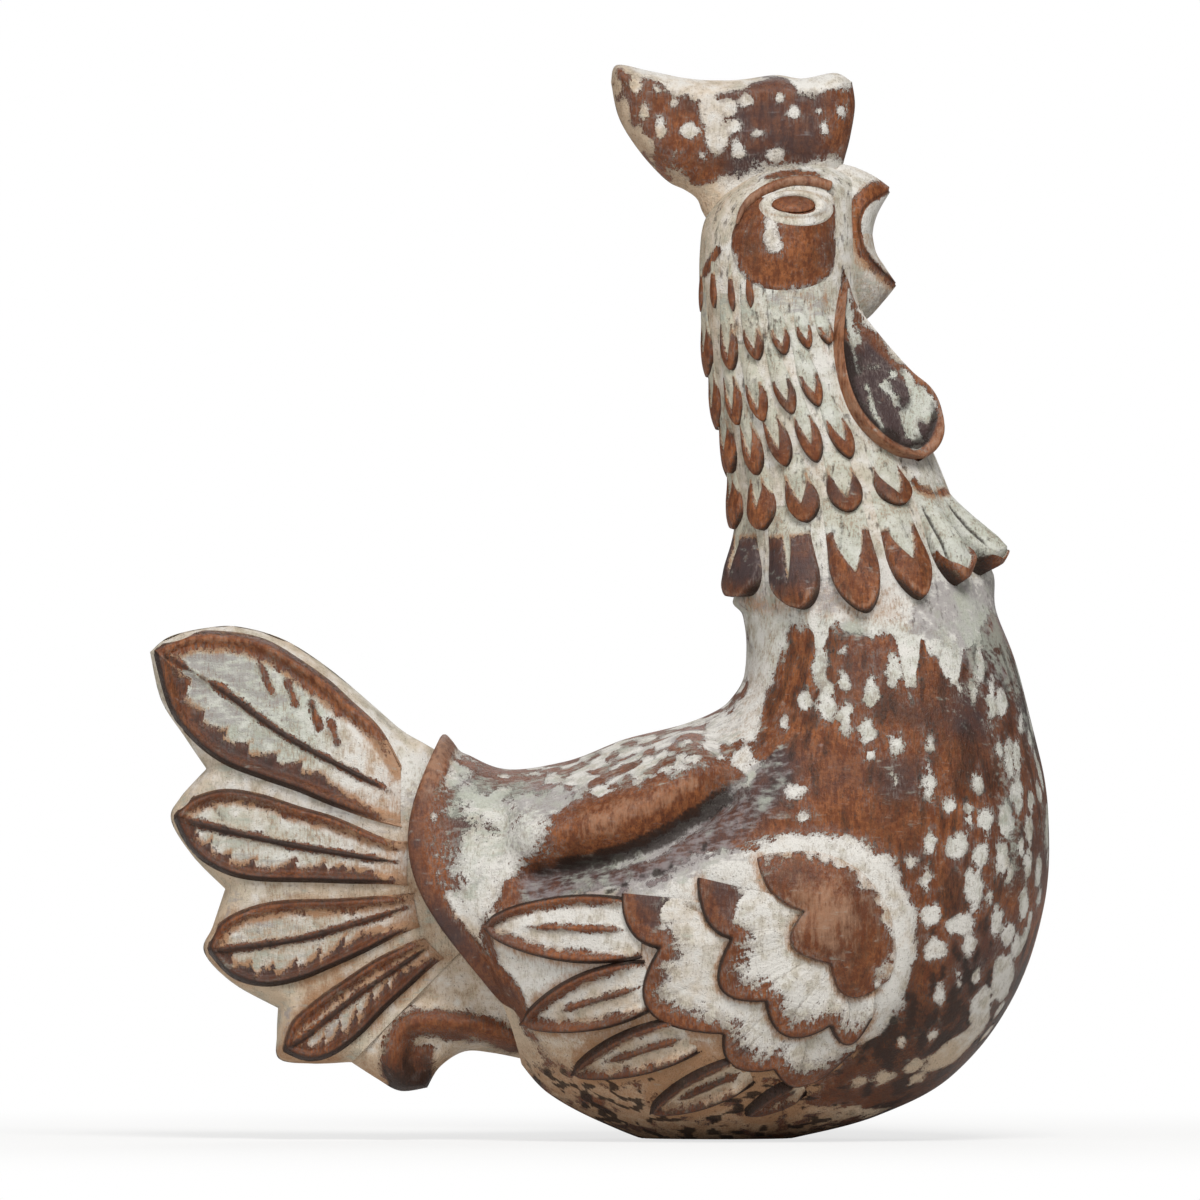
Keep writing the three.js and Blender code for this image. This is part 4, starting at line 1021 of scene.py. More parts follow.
# Hackle rows: root and tip stations at nape and throat, height of the lip, feather centres in degrees from
# the nape, then for each feather the share where its burnish starts, where its slit ends and the slit's width
HACKLE = [
    ((19.75, 19.3), (18.75, 18.9), 0.8, (12, 34, 52, 67), 0.25, 0.0, 0.0),
    (
        (19.0, 18.95), (17.5, 18.35), 1.7, (14, 45, 65, 84, 101, 116), (0.3, 0.35, 0.5, 0.54, 0.54, 0.6),
        0.84, 0.58,
    ),
    ((17.9, 18.5), (16.4, 17.2), 1.9, (15, 39, 58, 77, 95), (0.3, 0.35, 0.46, 0.52, 0.56), 0.82, 0.6),
    ((16.9, 17.4), (15.4, 16.0), 2.2, (20, 44, 63, 82, 100), (0.3, 0.3, 0.33, 0.36, 0.45), 0.78, 0.6),
    (
        (15.7, 15.9), (14.3, 15.0), 2.5, (14, 42, 68, 92, 119), 0.24,
        (0.66, 0.68, 0.7, 0.76, 0.78), (0.4, 0.4, 0.6, 0.66, 0.7),
    ),
    (
        (14.5, 15.15), (12.85, 13.52), 4.0, (20, 57, 88, 115, 139, 161), (0.2, 0.2, 0.24, 0.3, 0.64, 0.76),
        (0.7, 0.68, 0.62, 0.64, 0.9, 0.93), (0.2, 0.17, 0.6, 0.62, 0.86, 0.9),
    ),
]
# The collar: how many times further it stands off at the nape and the throat, and how many stations
# lower its middle feathers hang
NAPE_FLARE = 1.4
THROAT_FLARE = 2.65
COLLAR_SAG = 0.56
NO_SLIT = -9.0
# The underside of a row: columns of its grid, and how deep it lies there (mm)
ROW_UNDERSIDE = [(-1, 2.2), (48, 2.6), (24, 2.6), (0, 2.2)]


class HackleRow:
    """A row of pressed feathers: each a tongue, proud at its tip, with a slit of slip down its middle.

    The first row is mere strokes, the last one the collar.
    """

    def __init__(self, number):
        self.number = number
        self.stroke = number == 0
        self.collar = number == len(HACKLE) - 1
        root, tip, self.lip, centres, *details = HACKLE[number]
        # the grid round the neck, and the skin under it
        centres = np.array(centres, float)
        gaps = np.diff(np.concatenate([[-centres[0]], centres, [2 * centres[-1] - centres[-2]]]))
        half = 0.48 * np.minimum(gaps[:-1], gaps[1:])
        reach = 180 if self.collar else centres[-1] + half[-1] * 1.5
        degrees = np.linspace(-reach, reach, int(reach * 2 / 0.5))
        share = np.concatenate([np.linspace(-0.1, 0.5, 24)[:-1], np.linspace(0.5, 1.16, 58)])
        turned, along = np.meshgrid(degrees, share, indexing="ij")
        self.from_nape = np.abs(turned)
        self.angle = np.radians(turned)
        self.f = section_share(self.angle)
        sag = COLLAR_SAG * np.sin(np.pi * self.f**0.8) if self.collar else 0
        self.u = blend(blend(*root, self.f), blend(*tip, self.f) - sag, along)
        self.ground, self.out = skin(self.u, self.angle)

        # the feather that a place belongs to, and the place's share along it and distance from its middle
        rng = np.random.default_rng(40 + number)
        which = np.abs(self.from_nape[..., None] - centres).argmin(-1)
        right = (turned < 0).astype(int)
        self.s = along - rng.uniform(-0.05, 0.05, (len(centres), 2))[which, right]
        lean = rng.uniform(-0.6, 0.6, (len(centres), 2))[which, right]
        self.start, slit_end, slit_wide = (np.broadcast_to(v, centres.shape)[which] for v in details)
        round_mm = np.linalg.norm(np.gradient(self.ground, axis=0), axis=-1) / (degrees[1] - degrees[0])
        reach_mm = np.linalg.norm(self.ground[:, -1] - self.ground[:, 0], axis=-1)[:, None]
        self.long_mm = reach_mm / (share[-1] - share[0])
        self.wide = half[which] * round_mm * (0.5 if self.stroke else 0.96 if self.collar else 0.86)
        self.aside = np.abs((self.from_nape - centres[which]) * round_mm + lean * (along - 0.5))
        self.draw_feathers(slit_end, slit_wide)

    def draw_feathers(self, slit_end, slit_wide):
        """Depths inside the feathers and their burnish, and the half width of their slits (mm)."""
        s, start, wide = self.s, self.start, self.wide
        bullet = held(1 - held((s - 0.5) / 0.5) ** (1.75 if self.collar else 2.3)) ** 0.6
        outer = wide * bullet * blend(0.92 if self.collar else 0.8, 1, ease(0.2, 0.6, s))
        self.inside = np.minimum(outer - self.aside, (1 - s) * self.long_mm)
        self.slit = np.full_like(wide, NO_SLIT)
        arms = outer
        if not self.stroke:
            slit = wide * slit_wide * held(1 - held((s - start) / (slit_end - start)) ** 1.5)
            self.slit = np.where(s < slit_end, slit, NO_SLIT)
        if not self.stroke and not self.collar:
            arms = outer * blend(np.minimum(slit_wide + 0.1, 1), 1, ease(0, 0.3, s - start))
        self.brown = np.minimum(np.minimum(self.inside, arms - self.aside), (s - start) * self.long_mm)

    def combed(self):
        """Two grooves down each of the collar's throat feathers."""
        if not self.collar:
            return 0 * self.aside
        grooves = held(bell(self.aside - 0.58 * self.wide, 0.45) + bell(self.aside - self.wide, 0.55))
        return grooves * ease(120, 132, self.from_nape) * window(self.s, (-0.02, 0.22), (0.9, 0.62))

    def height(self):
        s, inside = self.s, self.inside
        rise = ease(-0.1, 0.8, s) ** 0.8 * self.lip
        if self.collar:
            swept_out = held((s + 0.1) / 0.92) ** 1.2 * self.lip * THROAT_FLARE
            swept_out = swept_out * blend(1, 0.62, ease(0.8, 1.04, s))
            flared = rise * blend(1, NAPE_FLARE, ease(40, 8, self.from_nape))
            rise = blend(flared, swept_out, ease(118, 165, self.from_nape))
        dome = np.sqrt(held(inside / np.maximum(self.wide * 0.8, 0.6)))
        edge_share = 0.74 if self.collar else 0.62
        roll = blend(dome, edge_share + (1 - edge_share) * dome, ease(0.45, 0.85, s))
        height = blend(UNDER, rise * roll, ease(-0.45, 0.55, inside))
        groove = ease(0.25, -0.45, self.aside - self.slit) * ease(0.1, 0.5, inside)
        groove = groove * ease(-0.1, 0.15, s - self.start)
        return height - groove * np.minimum(0.5 * rise, 1.3) - 0.6 * self.combed()

    def marks(self, place):
        s, inside, collar = self.s, self.inside, self.collar
        slip = np.maximum(-self.brown * (1.7 if collar else 2.8), (self.slit - self.aside) * 3.6) - 0.2
        if collar:
            slip = np.minimum(slip, -throat_arc(place))
        # painted shade under the feather tips and along their sides
        edge_shade = 0.75 * ease(0.8, 0.0, inside) * ease(0.55, 0.9, s)
        edge_shade = edge_shade + 0.3 * ease(0.6, -0.1, inside) * ease(0.15, 0.4, s)
        soot = 0.35 + 0.62 * ease(84, 62, self.from_nape) if collar else 0.2
        return {
            "slip": slip,
            "soot": soot * ease(0.95, 0.6, s) * ease(125, 90, self.from_nape),
            "moss": 0.4 + 0.5 * ease(-0.1, 0.6, slip),
            "warm": 0.2 + 0.5 * ease(0.5, 0, self.f),
            "stain": 0.55 * ease(3.0, 0.0, slip) + 0.25 * ease(0.4, 0.1, s) + 0.08,
            "shade": np.max([edge_shade, 0.55 * neck_hairs(place), 0.95 * self.combed()], 0),
            "wash": (0.6 if self.number == 1 else 0.15) * ease(0.5, 0.1, s),
            # painted sheen on each feather's lip near its tip
            "painted_sheen": (0.5 if collar else 0.3) * window(inside, (0.5, 1.0), (2.6, 1.4)) * ease(0.6, 0.85, s),
        }

    def make(self):
        place = self.ground + self.out * self.height()[..., None]
        loop = [self.ground[:, k] - self.out[:, k] * depth for k, depth in ROW_UNDERSIDE] + [place[:, 0]]
        places = np.concatenate([place, np.stack(loop, 1)], 1)
        marks = self.marks(place)
        for name, values in marks.items():
            marks[name] = np.concatenate([values, np.repeat(values[:, :1], len(loop), 1)], 1)
        clay_piece(f"hackle_row_{self.number + 1}", places, marks)


for number in range(len(HACKLE)):
    HackleRow(number).make()


# Wing

COVERT_LAP = 3.5  # how far a tier starts in under the one above (mm)
PAST_EDGE = 1.7  # how far a grid runs on past an outline (mm)


def bearing(points):
    """Bearings of places round the shoulder."""
    off = points - SHOULDER
    return np.unwrap(np.arctan2(off[:, 1], off[:, 0]) % (2 * np.pi))


def under_tier(tier, edge):
    """The line where a tier starts, in under the lip of the tier above."""
    above = scalloped_edge(*COVERTS[tier - 1][1:3])
    order = np.argsort(bearing(above))
    radius = np.interp(bearing(edge), bearing(above)[order], np.linalg.norm(above - SHOULDER, axis=1)[order])
    return SHOULDER + unit(edge - SHOULDER) * (radius - COVERT_LAP)[:, None]


def covert_pad(x, z, edge, inner, off):
    """Height and marks of the upper tier, a smooth pad."""
    lip = COVERTS[0][3]
    d = depth_inside(joined(edge, inner[::-1])[::3], x, z)
    to_front = from_line(inner[::4], x, z)
    pad = lip * blend(0.12, 1, ease(0, 12, to_front)) * (0.7 + 0.3 * ease(0, 4, off))
    rough = lumps(side_on(x, z), (1, 4, 64), (0.7, 1.8, 65))
    marks = {
        "slip": np.maximum(-0.6 - d, 1.8 - to_front * 0.9 + 1.5 * rough),
        "soot": 0.15 * ease(6, 1, d),
        "stain": 0.5 * ease(6, 1, to_front),
        # painted shade along the scalloped edge, and a painted sheen in the middle of the pad
        "shade": 0.7 * ease(1.0, 0, off) * ease(-0.5, 0.3, d),
        "painted_sheen": 0.85 * bell(x - 56, 11) * bell(z - 57, 10),
    }
    return blend(UNDER, pad, ease(-0.8, 0.5, d)), marks


def covert_plate(tier, reach, length, off, along):
    """Height and marks of a lower tier, a plate that rises to a scalloped lip."""
    _, _, scallops, lip = COVERTS[tier]
    d = np.where(reach < length, off, -off)
    scallop = along * len(scallops)
    first = ease(1.05, 0.85, scallop)
    end = ease(0.9, 1.0, along)
    dish = blend(0.3, lip, ease(0.1, 1.0, reach / length)) * (1 - 0.6 * end)
    dish = dish + 0.35 * np.cos(2 * np.pi * scallop)
    height = blend(UNDER, dish * (0.70 + 0.30 * ease(0, 1.4, d)), ease(-0.8, 0.35, d))
    index = np.arange(len(reach))[:, None] + 0 * reach
    brush = hair(index * 0.42, 70 + tier)
    height = height - 0.35 * held(brush) * ease(0.8, 2.5, d)
    band = 3.4 + 2.0 * np.sin(np.pi * (scallop % 1)) + 2.6 * brush + 0.9 * ripple(index * 0.06, 90 + tier)
    band = (band + first * (8 if tier == 2 else 5)) * (1 - 0.7 * end)
    under_lip = reach - COVERT_LAP
    marks = {
        "slip": np.maximum((d - band) * 0.42, -0.35 - d),
        "soot": 0.4 * first + 0.45 * ease(3.0, 5.0, d),
        "stain": 0.85 * ease(2.8, 0.3, under_lip) * ease(1, 4, d),
        # painted shade at the lip and under the lip of the tier above, a painted sheen just inside the lip
        "shade": held(ease(1.6, 0.1, d) + 0.6 * ease(1.8, 0.0, under_lip) * ease(1, 4, d)),
        "painted_sheen": 0.2 * window(d, (0.3, 0.9), (3.5, 1.2)),
    }
    return height, marks


def covert(tier):
    """One tier of scalloped feathers."""
    name, start, scallops, _ = COVERTS[tier]
    edge = scalloped_edge(start, scallops)
    inner = curve(UPPER_FRONT, len(edge)) if tier == 0 else under_tier(tier, edge)
    length = np.linalg.norm(edge - inner, axis=1, keepdims=True)
    first_reach = -PAST_EDGE if tier == 0 else 0.0
    lip_reach = np.maximum(length - 1.2, 0.4)
    inside_steps = first_reach + np.linspace(0, 1, 34) * (lip_reach - first_reach)
    lip_steps = lip_reach + np.linspace(0, 1, 10)[1:] * (length + PAST_EDGE - lip_reach)
    reach = np.concatenate([inside_steps, lip_steps], 1)
    place = inner[:, None] + unit(edge - inner)[:, None] * reach[..., None]
    x, z = place[..., 0], place[..., 1]
    off, _, along = beside_line(edge[::4], x, z)
    if tier == 0:
        height, marks = covert_pad(x, z, edge, inner, off)
    else:
        height, marks = covert_plate(tier, reach, length, off, along)
    ground, out = on_flank(x, z)
    marks |= {"moss": 0.2, "warm": 0.1}
    both_sides(f"wing_covert_{name}", ground + out * height[..., None], marks)


for tier in range(len(COVERTS)):
    covert(tier)


def leaf_grid(upper, lower, along, across):
    """Places over a leaf, a little beyond its two edges, which run from the root to a shared tip.

    With them: the share along it, the depth inside it, the offset from its middle (mm) and the share across.
    """
    s = np.linspace(0, 1, along)
    top, bottom = through(upper, s), through(lower, s)
    axis, half = (top + bottom) / 2, (top - bottom) / 2
    wide = np.linalg.norm(half, axis=1, keepdims=True)
    run = unit(np.gradient(axis, axis=0))
    square = np.stack([-run[:, 1], run[:, 0]], 1)
    square *= np.sign((square * half).sum(1))[len(s) // 3]
    towards = unit(blend(half / np.maximum(wide, 1e-6), square, ease(0.75, 0.97, s)[:, None]))
    past = np.linspace(0, PAST_EDGE, 7)[1:, None]
    axis = np.concatenate([axis, axis[-1] + run[-1] * past])
    towards = np.concatenate([towards, np.repeat(towards[-1:], len(past), 0)])
    wide = np.concatenate([np.maximum(wide, 0.5), np.full((len(past), 1), 0.5)])
    beyond = np.array([0.05, 0.1, 0.15])
    v = np.concatenate([-1 - beyond[::-1], np.linspace(-1, 1, across), 1 + beyond])
    centre = np.clip(v, -1, 1) * wide
    offset = centre + np.sign(v) * np.maximum(np.abs(v) - 1, 0) / beyond[-1] * PAST_EDGE
    place = axis[:, None] + towards[:, None] * offset[..., None]
    share = np.concatenate([s, np.ones(len(past))])[:, None] + 0 * offset
    x, z = place[..., 0], place[..., 1]
    # the open root has no rim
    side = np.minimum(from_line(top[::3], x, z), from_line(bottom[::3], x, z))
    d = np.where(depth_inside(joined(top, bottom[::-1])[::2], x, z) > 0, side, -side)
    return place, share, d, centre, np.clip(v, -1, 1) + 0 * offset


def quill(number):
    """One of the long feathers under the coverts: a dished leaf with a rim and a rib."""
    place, share, d, centre, v = leaf_grid(*quill_edges(number), 96, 40)
    x, z = place[..., 0], place[..., 1]
    height = leaf_height(d, 2.5, 0.3, 1.3)
    rib_run = window(share, (0.06, 0.2), (0.8, 0.6))
    height = np.where(d > 1, np.maximum(height, 0.45 + 1.1 * bell(centre, 0.8) * rib_run), height)
    height = np.where(d > 0, blend(0.3, height, ease(0.0, 0.22, share)), height)
    brush = hair(share * 30 + np.sign(v) * 9, 100 + number)
    rim_wide = (2.5 if number < 2 else 1.8) * blend(0.35, 1, ease(0.02, 0.35, share)) + 0.8 * brush
    off_rib = (np.abs(centre) - 0.85 * rib_run) * 1.8 + 1.2 * (1 - rib_run)
    slip = np.maximum(np.minimum((d - rim_wide) * 1.3, off_rib), -0.35 - d)
    low = ease(45, 15, z)
    marks = {
        "slip": slip,
        "soot": 0.25 * ease(0.4, 1, share),
        "moss": 0.1,
        "warm": 0.15 + 0.4 * low,
        "stain": 0.45 * ease(2.0, 0.2, d - rim_wide) + 0.15 * low,
        # painted shade along the edge, and on the bare rim, heavier lower down
        "shade": 0.9 * ease(1.1, 0.0, d) + (0.2 + 0.4 * low) * ease(0.5, -0.5, slip),
    }
    ground, out = on_flank(x, z)
    both_sides(f"wing_quill_{number + 1}", ground + out * height[..., None], marks)


for number in range(len(QUILLS)):
    quill(number)


# Tail

# Patches of the fan: shares of the mantle rim that they spring from, then their upper and outer edges
TAIL_PATCHES = [
    (
        (0.05, 0.33),
        [
            (-45, 99.2), (-50, 102.3), (-57, 108.4), (-68, 117.6),
            (-79, 124.6), (-90, 127.8), (-98, 127.6), (-107.5, 125.4),
        ],
        [(-112.5, 121.5), (-109.7, 109.5), (-103.5, 99.8), (-98.4, 92.3)],
    ),
    ((0.33, 0.46), [], [(-98.4, 92.3), (-105, 85), (-107.2, 79.4), (-101.7, 70.4), (-93.7, 62.3)]),
    ((0.46, 0.555), [], [(-93.7, 62.3), (-96.8, 53), (-99, 46.6), (-92, 38.9), (-80.5, 32.5)]),
    ((0.555, 0.64), [], [(-80.5, 32.5), (-80.8, 25.8), (-80.2, 19.8), (-72, 18.6), (-62, 19)]),
]
CURL_RIM = (0.605, 0.995)
CURL_OUTER = [(-66, 21.5), (-56, 15), (-50, 11.8), (-43.2, 12.6)]
CURL_LOWER = [(-27, 21.3), (-34, 21.6), (-40, 17.8)]
SEAT = 2.5  # how far the tail reaches in under the mantle rim
TAIL_SINK = 3.2  # how much thinner than the body the tail is on each side, where it meets the rim
TAIL_ROOT = (3, 15)  # least and most half thickness there
RIM_SHARES = np.linspace(0.0, 0.995, 240)
RIM_DENSE = side_place(np.zeros(240), RIM_SHARES)
RIM_HALF = half_width(np.zeros(240), RIM_SHARES)


def rim_place(f):
    """Side-view places in under the mantle rim."""
    place = side_place(np.zeros_like(f), f)
    place[..., 0] += SEAT
    return place


def stretched(left, right, root, tip, s, v):
    """Places stretched between four edges: left and right run outwards (s), root and tip across (v)."""
    across, out = v[..., None], s[..., None]
    sides = blend(through(left, s), through(right, s), across)
    corners = blend(blend(left[0], right[0], across), blend(left[-1], right[-1], across), out)
    return sides + blend(root, tip, out) - corners


def patch(rim, upper, lower, outer, s, v):
    """Side-view places between the mantle rim and an outer edge: s outwards, v across."""
    ends = rim_place(np.array(rim))
    left = joined(ends[:1], upper, outer[:1])
    right = joined(ends[1:], lower, outer[-1:])
    return stretched(left, right, rim_place(blend(*rim, v)), through(outer, v), s, v)


def patch_grid(across, out):
    """Shares across and outwards: both crowd together where a patch closes on the middle plane."""
    crowded = (1 - np.cos(np.linspace(0, np.pi, across))) / 2
    return np.meshgrid(crowded, np.sin(np.linspace(0, np.pi / 2, out)), indexing="ij")


def closed(x, z, half):
    """The left half of a piece that closes on the middle plane at its sides and its outer edge."""
    half[(0, -1), :] = 0
    half[:, -1] = 0
    return np.stack([x, half, z], -1)


def fan_free_edge():
    """The fan's edge from the rim's top round to its lowest feather."""
    rim, upper, outer = TAIL_PATCHES[0]
    runs = [joined(rim_place(np.array(rim[:1])), upper, outer[:1])]
    runs += [outer for _, _, outer in TAIL_PATCHES]
    return joined(*[curve(run, 40) for run in runs])


FAN_EDGE = fan_free_edge()
FAN_RIM = (TAIL_PATCHES[0][0][0], TAIL_PATCHES[-1][0][1])
FAN = joined(FAN_EDGE, rim_place(np.linspace(FAN_RIM[1], FAN_RIM[0], 40)))
FAN_HUB = (-22.0, 62.0)
FAN_ROUNDING = 4.5
RIM_BEARING = np.unwrap(np.arctan2(RIM_DENSE[:, 1] - FAN_HUB[1], RIM_DENSE[:, 0] - FAN_HUB[0]))
RIM_AWAY = np.hypot(RIM_DENSE[:, 0] - FAN_HUB[0], RIM_DENSE[:, 1] - FAN_HUB[1])


def fan_half(x, z):
    """Half thickness of the tail fan over a side-view place."""
    turn = np.arctan2(z - FAN_HUB[1], x - FAN_HUB[0])
    turn = np.where(turn < 0, turn + 2 * np.pi, turn)
    root = np.clip(np.interp(turn, RIM_BEARING, RIM_HALF) - TAIL_SINK, *TAIL_ROOT)
    out = np.hypot(x - FAN_HUB[0], z - FAN_HUB[1]) - np.interp(turn, RIM_BEARING, RIM_AWAY)
    full = blend(root, np.minimum(root, 5.5), held(out / 62) ** 0.85) + 0.25 * mottle(side_on(x, z), 12, 50)
    return full * blend(1, round_over(from_line(FAN_EDGE[::3], x, z), FAN_ROUNDING), ease(3, 9, out))


# Tail feathers on the sketch: upper and lower edge from root to tip, then the rib from tip to root
TAIL_LEAVES = [
    (
        sketch(
            (402, 768), (380, 729), (351, 701), (328, 680), (298, 659), (267, 641), (232, 633),
            (188, 633), (154, 649),
        ),
        sketch(
            (402, 826), (372, 818), (332, 804), (298, 790), (263, 778), (225, 763), (194, 740),
            (170, 708), (154, 649),
        ),
        sketch((166, 656), (223, 690), (290, 738), (396, 794)),
    ),
    (
        sketch(
            (408, 842), (386, 839), (337, 818), (300, 807), (259, 794), (222, 790), (190, 800),
            (174, 817),
        ),
        sketch(
            (408, 884), (386, 882.5), (350, 882), (318, 881), (253, 879), (216, 868), (190, 848),
            (174, 817),
        ),
        sketch((178, 818), (226, 830), (300, 846), (400, 862)),
    ),
    (
        sketch(
            (414, 893), (397, 895), (366, 897), (337, 899), (281, 901), (244, 910), (218, 926),
            (208, 950),
        ),
        sketch(
            (420, 925), (398, 934), (365, 951), (330, 967), (300, 979), (265, 985), (232, 976),
            (208, 950),
        ),
        sketch((212, 950), (233, 948), (310, 936), (410, 906)),
    ),
    (
        sketch(
            (425, 938), (412, 942), (390, 952), (370, 963), (345, 980), (323, 995), (293, 1021),
            (283, 1050),
        ),
        sketch(
            (444, 957), (433, 964), (410, 985), (385, 1008), (360, 1034), (333, 1054), (308, 1060),
            (283, 1050),
        ),
        sketch((287, 1048), (311, 1032), (360, 993), (432, 944)),
    ),
]


def tail_fan():
    """The slipped fan that the tail feathers are laid on."""
    rows = []
    for k, (rim, upper, outer) in enumerate(TAIL_PATCHES):
        v, s = patch_grid(54, 76)
        # neighbours share an edge, so each but the first leaves out its own
        first = min(k, 1)
        rows.append(patch(rim, upper, [], outer, s[first:], v[first:]))
    place = np.concatenate(rows)
    x, z = place[..., 0], place[..., 1]
    half = closed(x, z, fan_half(x, z))
    to_edge = from_line(FAN_EDGE[::3], x, z)
    rim = from_line(RIM_DENSE[::4], x, z)
    near_leaf = np.min([from_line(curve(edge, 14), x, z) for leaf in TAIL_LEAVES for edge in leaf[:2]], 0)
    low = ease(80, 40, z)
    spotted = 0.35 * ease(-0.3, 0.6, mottle(half, 9, 55)) + 0.25 * mottle(half, 3.5, 56)
    stain = (0.25 + 0.25 * low) * ease(4, 0.4, near_leaf) + 0.25 * ease(4.5, 1.5, rim) + spotted * low
    marks = {
        "slip": 2.6 + lumps(half, (1.2, 6, 52), (0.7, 2.5, 53)) * 0.6,
        "wash": 0.5 * ease(0.0, 0.7, mottle(half, 7, 57)),
        "moss": 0.2 + 0.3 * ease(-0.2, 0.6, mottle(half, 14, 54)),
        "warm": held(blend(0.3, 0.75, low) * ease(6, 0.8, to_edge) + 0.1 + 0.4 * ease(95, 72, z)),
        "stain": held(stain),
    }
    mirrored("tail_fan", half, "slip", marks)


tail_fan()

# Raised barbs on the first tail feather
BARBS = [
    sketch((261, 666), (272, 692)), sketch((288, 681), (296, 704)),
    sketch((312, 703), (320, 727)), sketch((331, 722), (338, 743)),
]
TIP_ROW = 112  # rows past this one are drawn towards its middle
FEATHER_STAIN = (0.3, 0.42, 0.55, 0.6)


def drawn_into_fan(place):
    """The places of a leaf, those outside the fan drawn in towards the leaf's middle."""
    middle = place[np.minimum(np.arange(len(place)), TIP_ROW), place.shape[1] // 2][:, None]
    for _ in range(14):
        outside = depth_inside(FAN[::2], place[..., 0], place[..., 1]) < 0.35
        place = np.where(outside[..., None], blend(place, middle, 0.12), place)
    return place


def feather_barbs(number, share, v, d, band):
    """Fine barbs that are combed into the slip of a tail feather."""
    barbs = ripple(share * 64 - np.abs(v) * 7, 140 + number)
    barbs = barbs + 0.5 * ripple(share * 150 - np.abs(v) * 12, 150 + number)
    return ease(0.15, 0.8, barbs) * ease(0.2, 1.6, d - band) * ease(0.2, 0.4, share)


def tail_feather(number):
    """A carved leaf on each side of the fan, with a rim, a rib and barbs."""
    upper, lower, rib_line = TAIL_LEAVES[number]
    first = number == 0
    place, share, d, _, v = leaf_grid(upper, lower, 120, 56)
    place = drawn_into_fan(place)
    x, z = place[..., 0], place[..., 1]
    off, _, along = beside_line(curve(rib_line, 30), x, z)
    height = leaf_height(d, 2.3 if first else 2.0, 0.3, 1.6 if first else 1.25)
    rib = bell(off, blend(1.2, 0.7, along)) * window(along, (0.02, 0.2), (1, 0.85))
    height = np.where(d > 1.5, np.maximum(height, 0.5 + 1.0 * rib), height)
    height = np.where(d > 0, blend(0.2, height, ease(0.0, 0.2, share)), height)

    brush = hair(share * 40 + np.sign(v) * 7, 130 + number)
    teeth = ((share * 11 + v * 0.35) % 1) * window(share, (0.2, 0.45), (0.98, 0.8))
    toothed = 2.4 + 3.0 * (1 - teeth) ** 2.2 * window(share, (0.1, 0.35), (1, 0.8))
    taper = blend(0.3, 1, ease(0.0, 0.4, share)) * blend(0.7, 1, ease(1.0, 0.85, share))
    band = np.where(v < 0, toothed + (2.0 if first else 0), 4.6 if first else 2.7) * taper + 1.2 * brush
    barbs = feather_barbs(number, share, v, d, band)
    height = height - 0.25 * barbs
    slip = d - band - 0.9 * barbs
    rib_half = blend(1.2, 0.75, along) * window(along, (0.0, 0.06), (1.0, 0.88))
    if first:
        rib_half = rib_half * (1 - window(along, (0.13, 0.17), (0.30, 0.24)))
        for barb in BARBS:
            off_barb = from_line(barb, x, z)
            slip = np.minimum(slip, off_barb * 1.6 - 1.3)
            height = height + np.where(d > 3, 0.7 * bell(off_barb, 0.8), 0)
    slip = np.minimum(slip, (off - rib_half) * 1.6 - 0.15 * brush)
    slip = np.max([slip, -0.2 - d * 1.5, (0.10 - share) * 34], 0)
    # Painted shade along the edge and on the bare rim, stronger on the lower side, where the clay is also
    # darker plum; the upper side gets a painted sheen.
    edge_shade = np.where(v < 0, 0.9, 0.5) * ease(1.2, 0.1, d) * ease(0.1, 0.3, share)
    bare_shade = np.where(v < 0, 0.55, 0.3) * ease(0.3, -0.8, slip)
    marks = {
        "slip": slip,
        "soot": 0.4 * ease(2.0, 4.0, d) * (off > 1.5) + 0.35 * (v < 0),
        "moss": (1.0 if first else 0.7) * ease(2.5, 5, d) * ease(0.15, 0.45, share),
        "warm": 0.2,
        "stain": 0.5 * ease(2.0, 0.2, d - band) + 0.3 * ease(0.25, 0.05, share) + FEATHER_STAIN[number],
        "wash": (0.85 if first else 0.6) * ease(0.25, 0.7, share) * ease(0.2, 2.0, slip),
        "painted_sheen": 0.4 * (v > 0) * window(d, (1.0, 1.8), (3.4, 2.4)),
        "shade": edge_shade + 0.5 * ease(1.2, 0.2, off) + 0.5 * barbs + bare_shade,
    }
    places = np.stack([x, fan_half(x, z) + height, z], -1)
    both_sides(f"tail_feather_{number + 1}", places, marks)


for number in range(len(TAIL_LEAVES)):
    tail_feather(number)


CURL_CREST = sketch(
    (512, 1040), (470, 1027), (435, 1021), (408, 1027), (396, 1044), (394, 1064), (402, 1082),
    (414, 1090),
)
CURL_TIP = sketch((388, 1040), (408, 1036), (432, 1050), (432, 1095), (404, 1095), (386, 1078))
CREST_HALF = 3.2


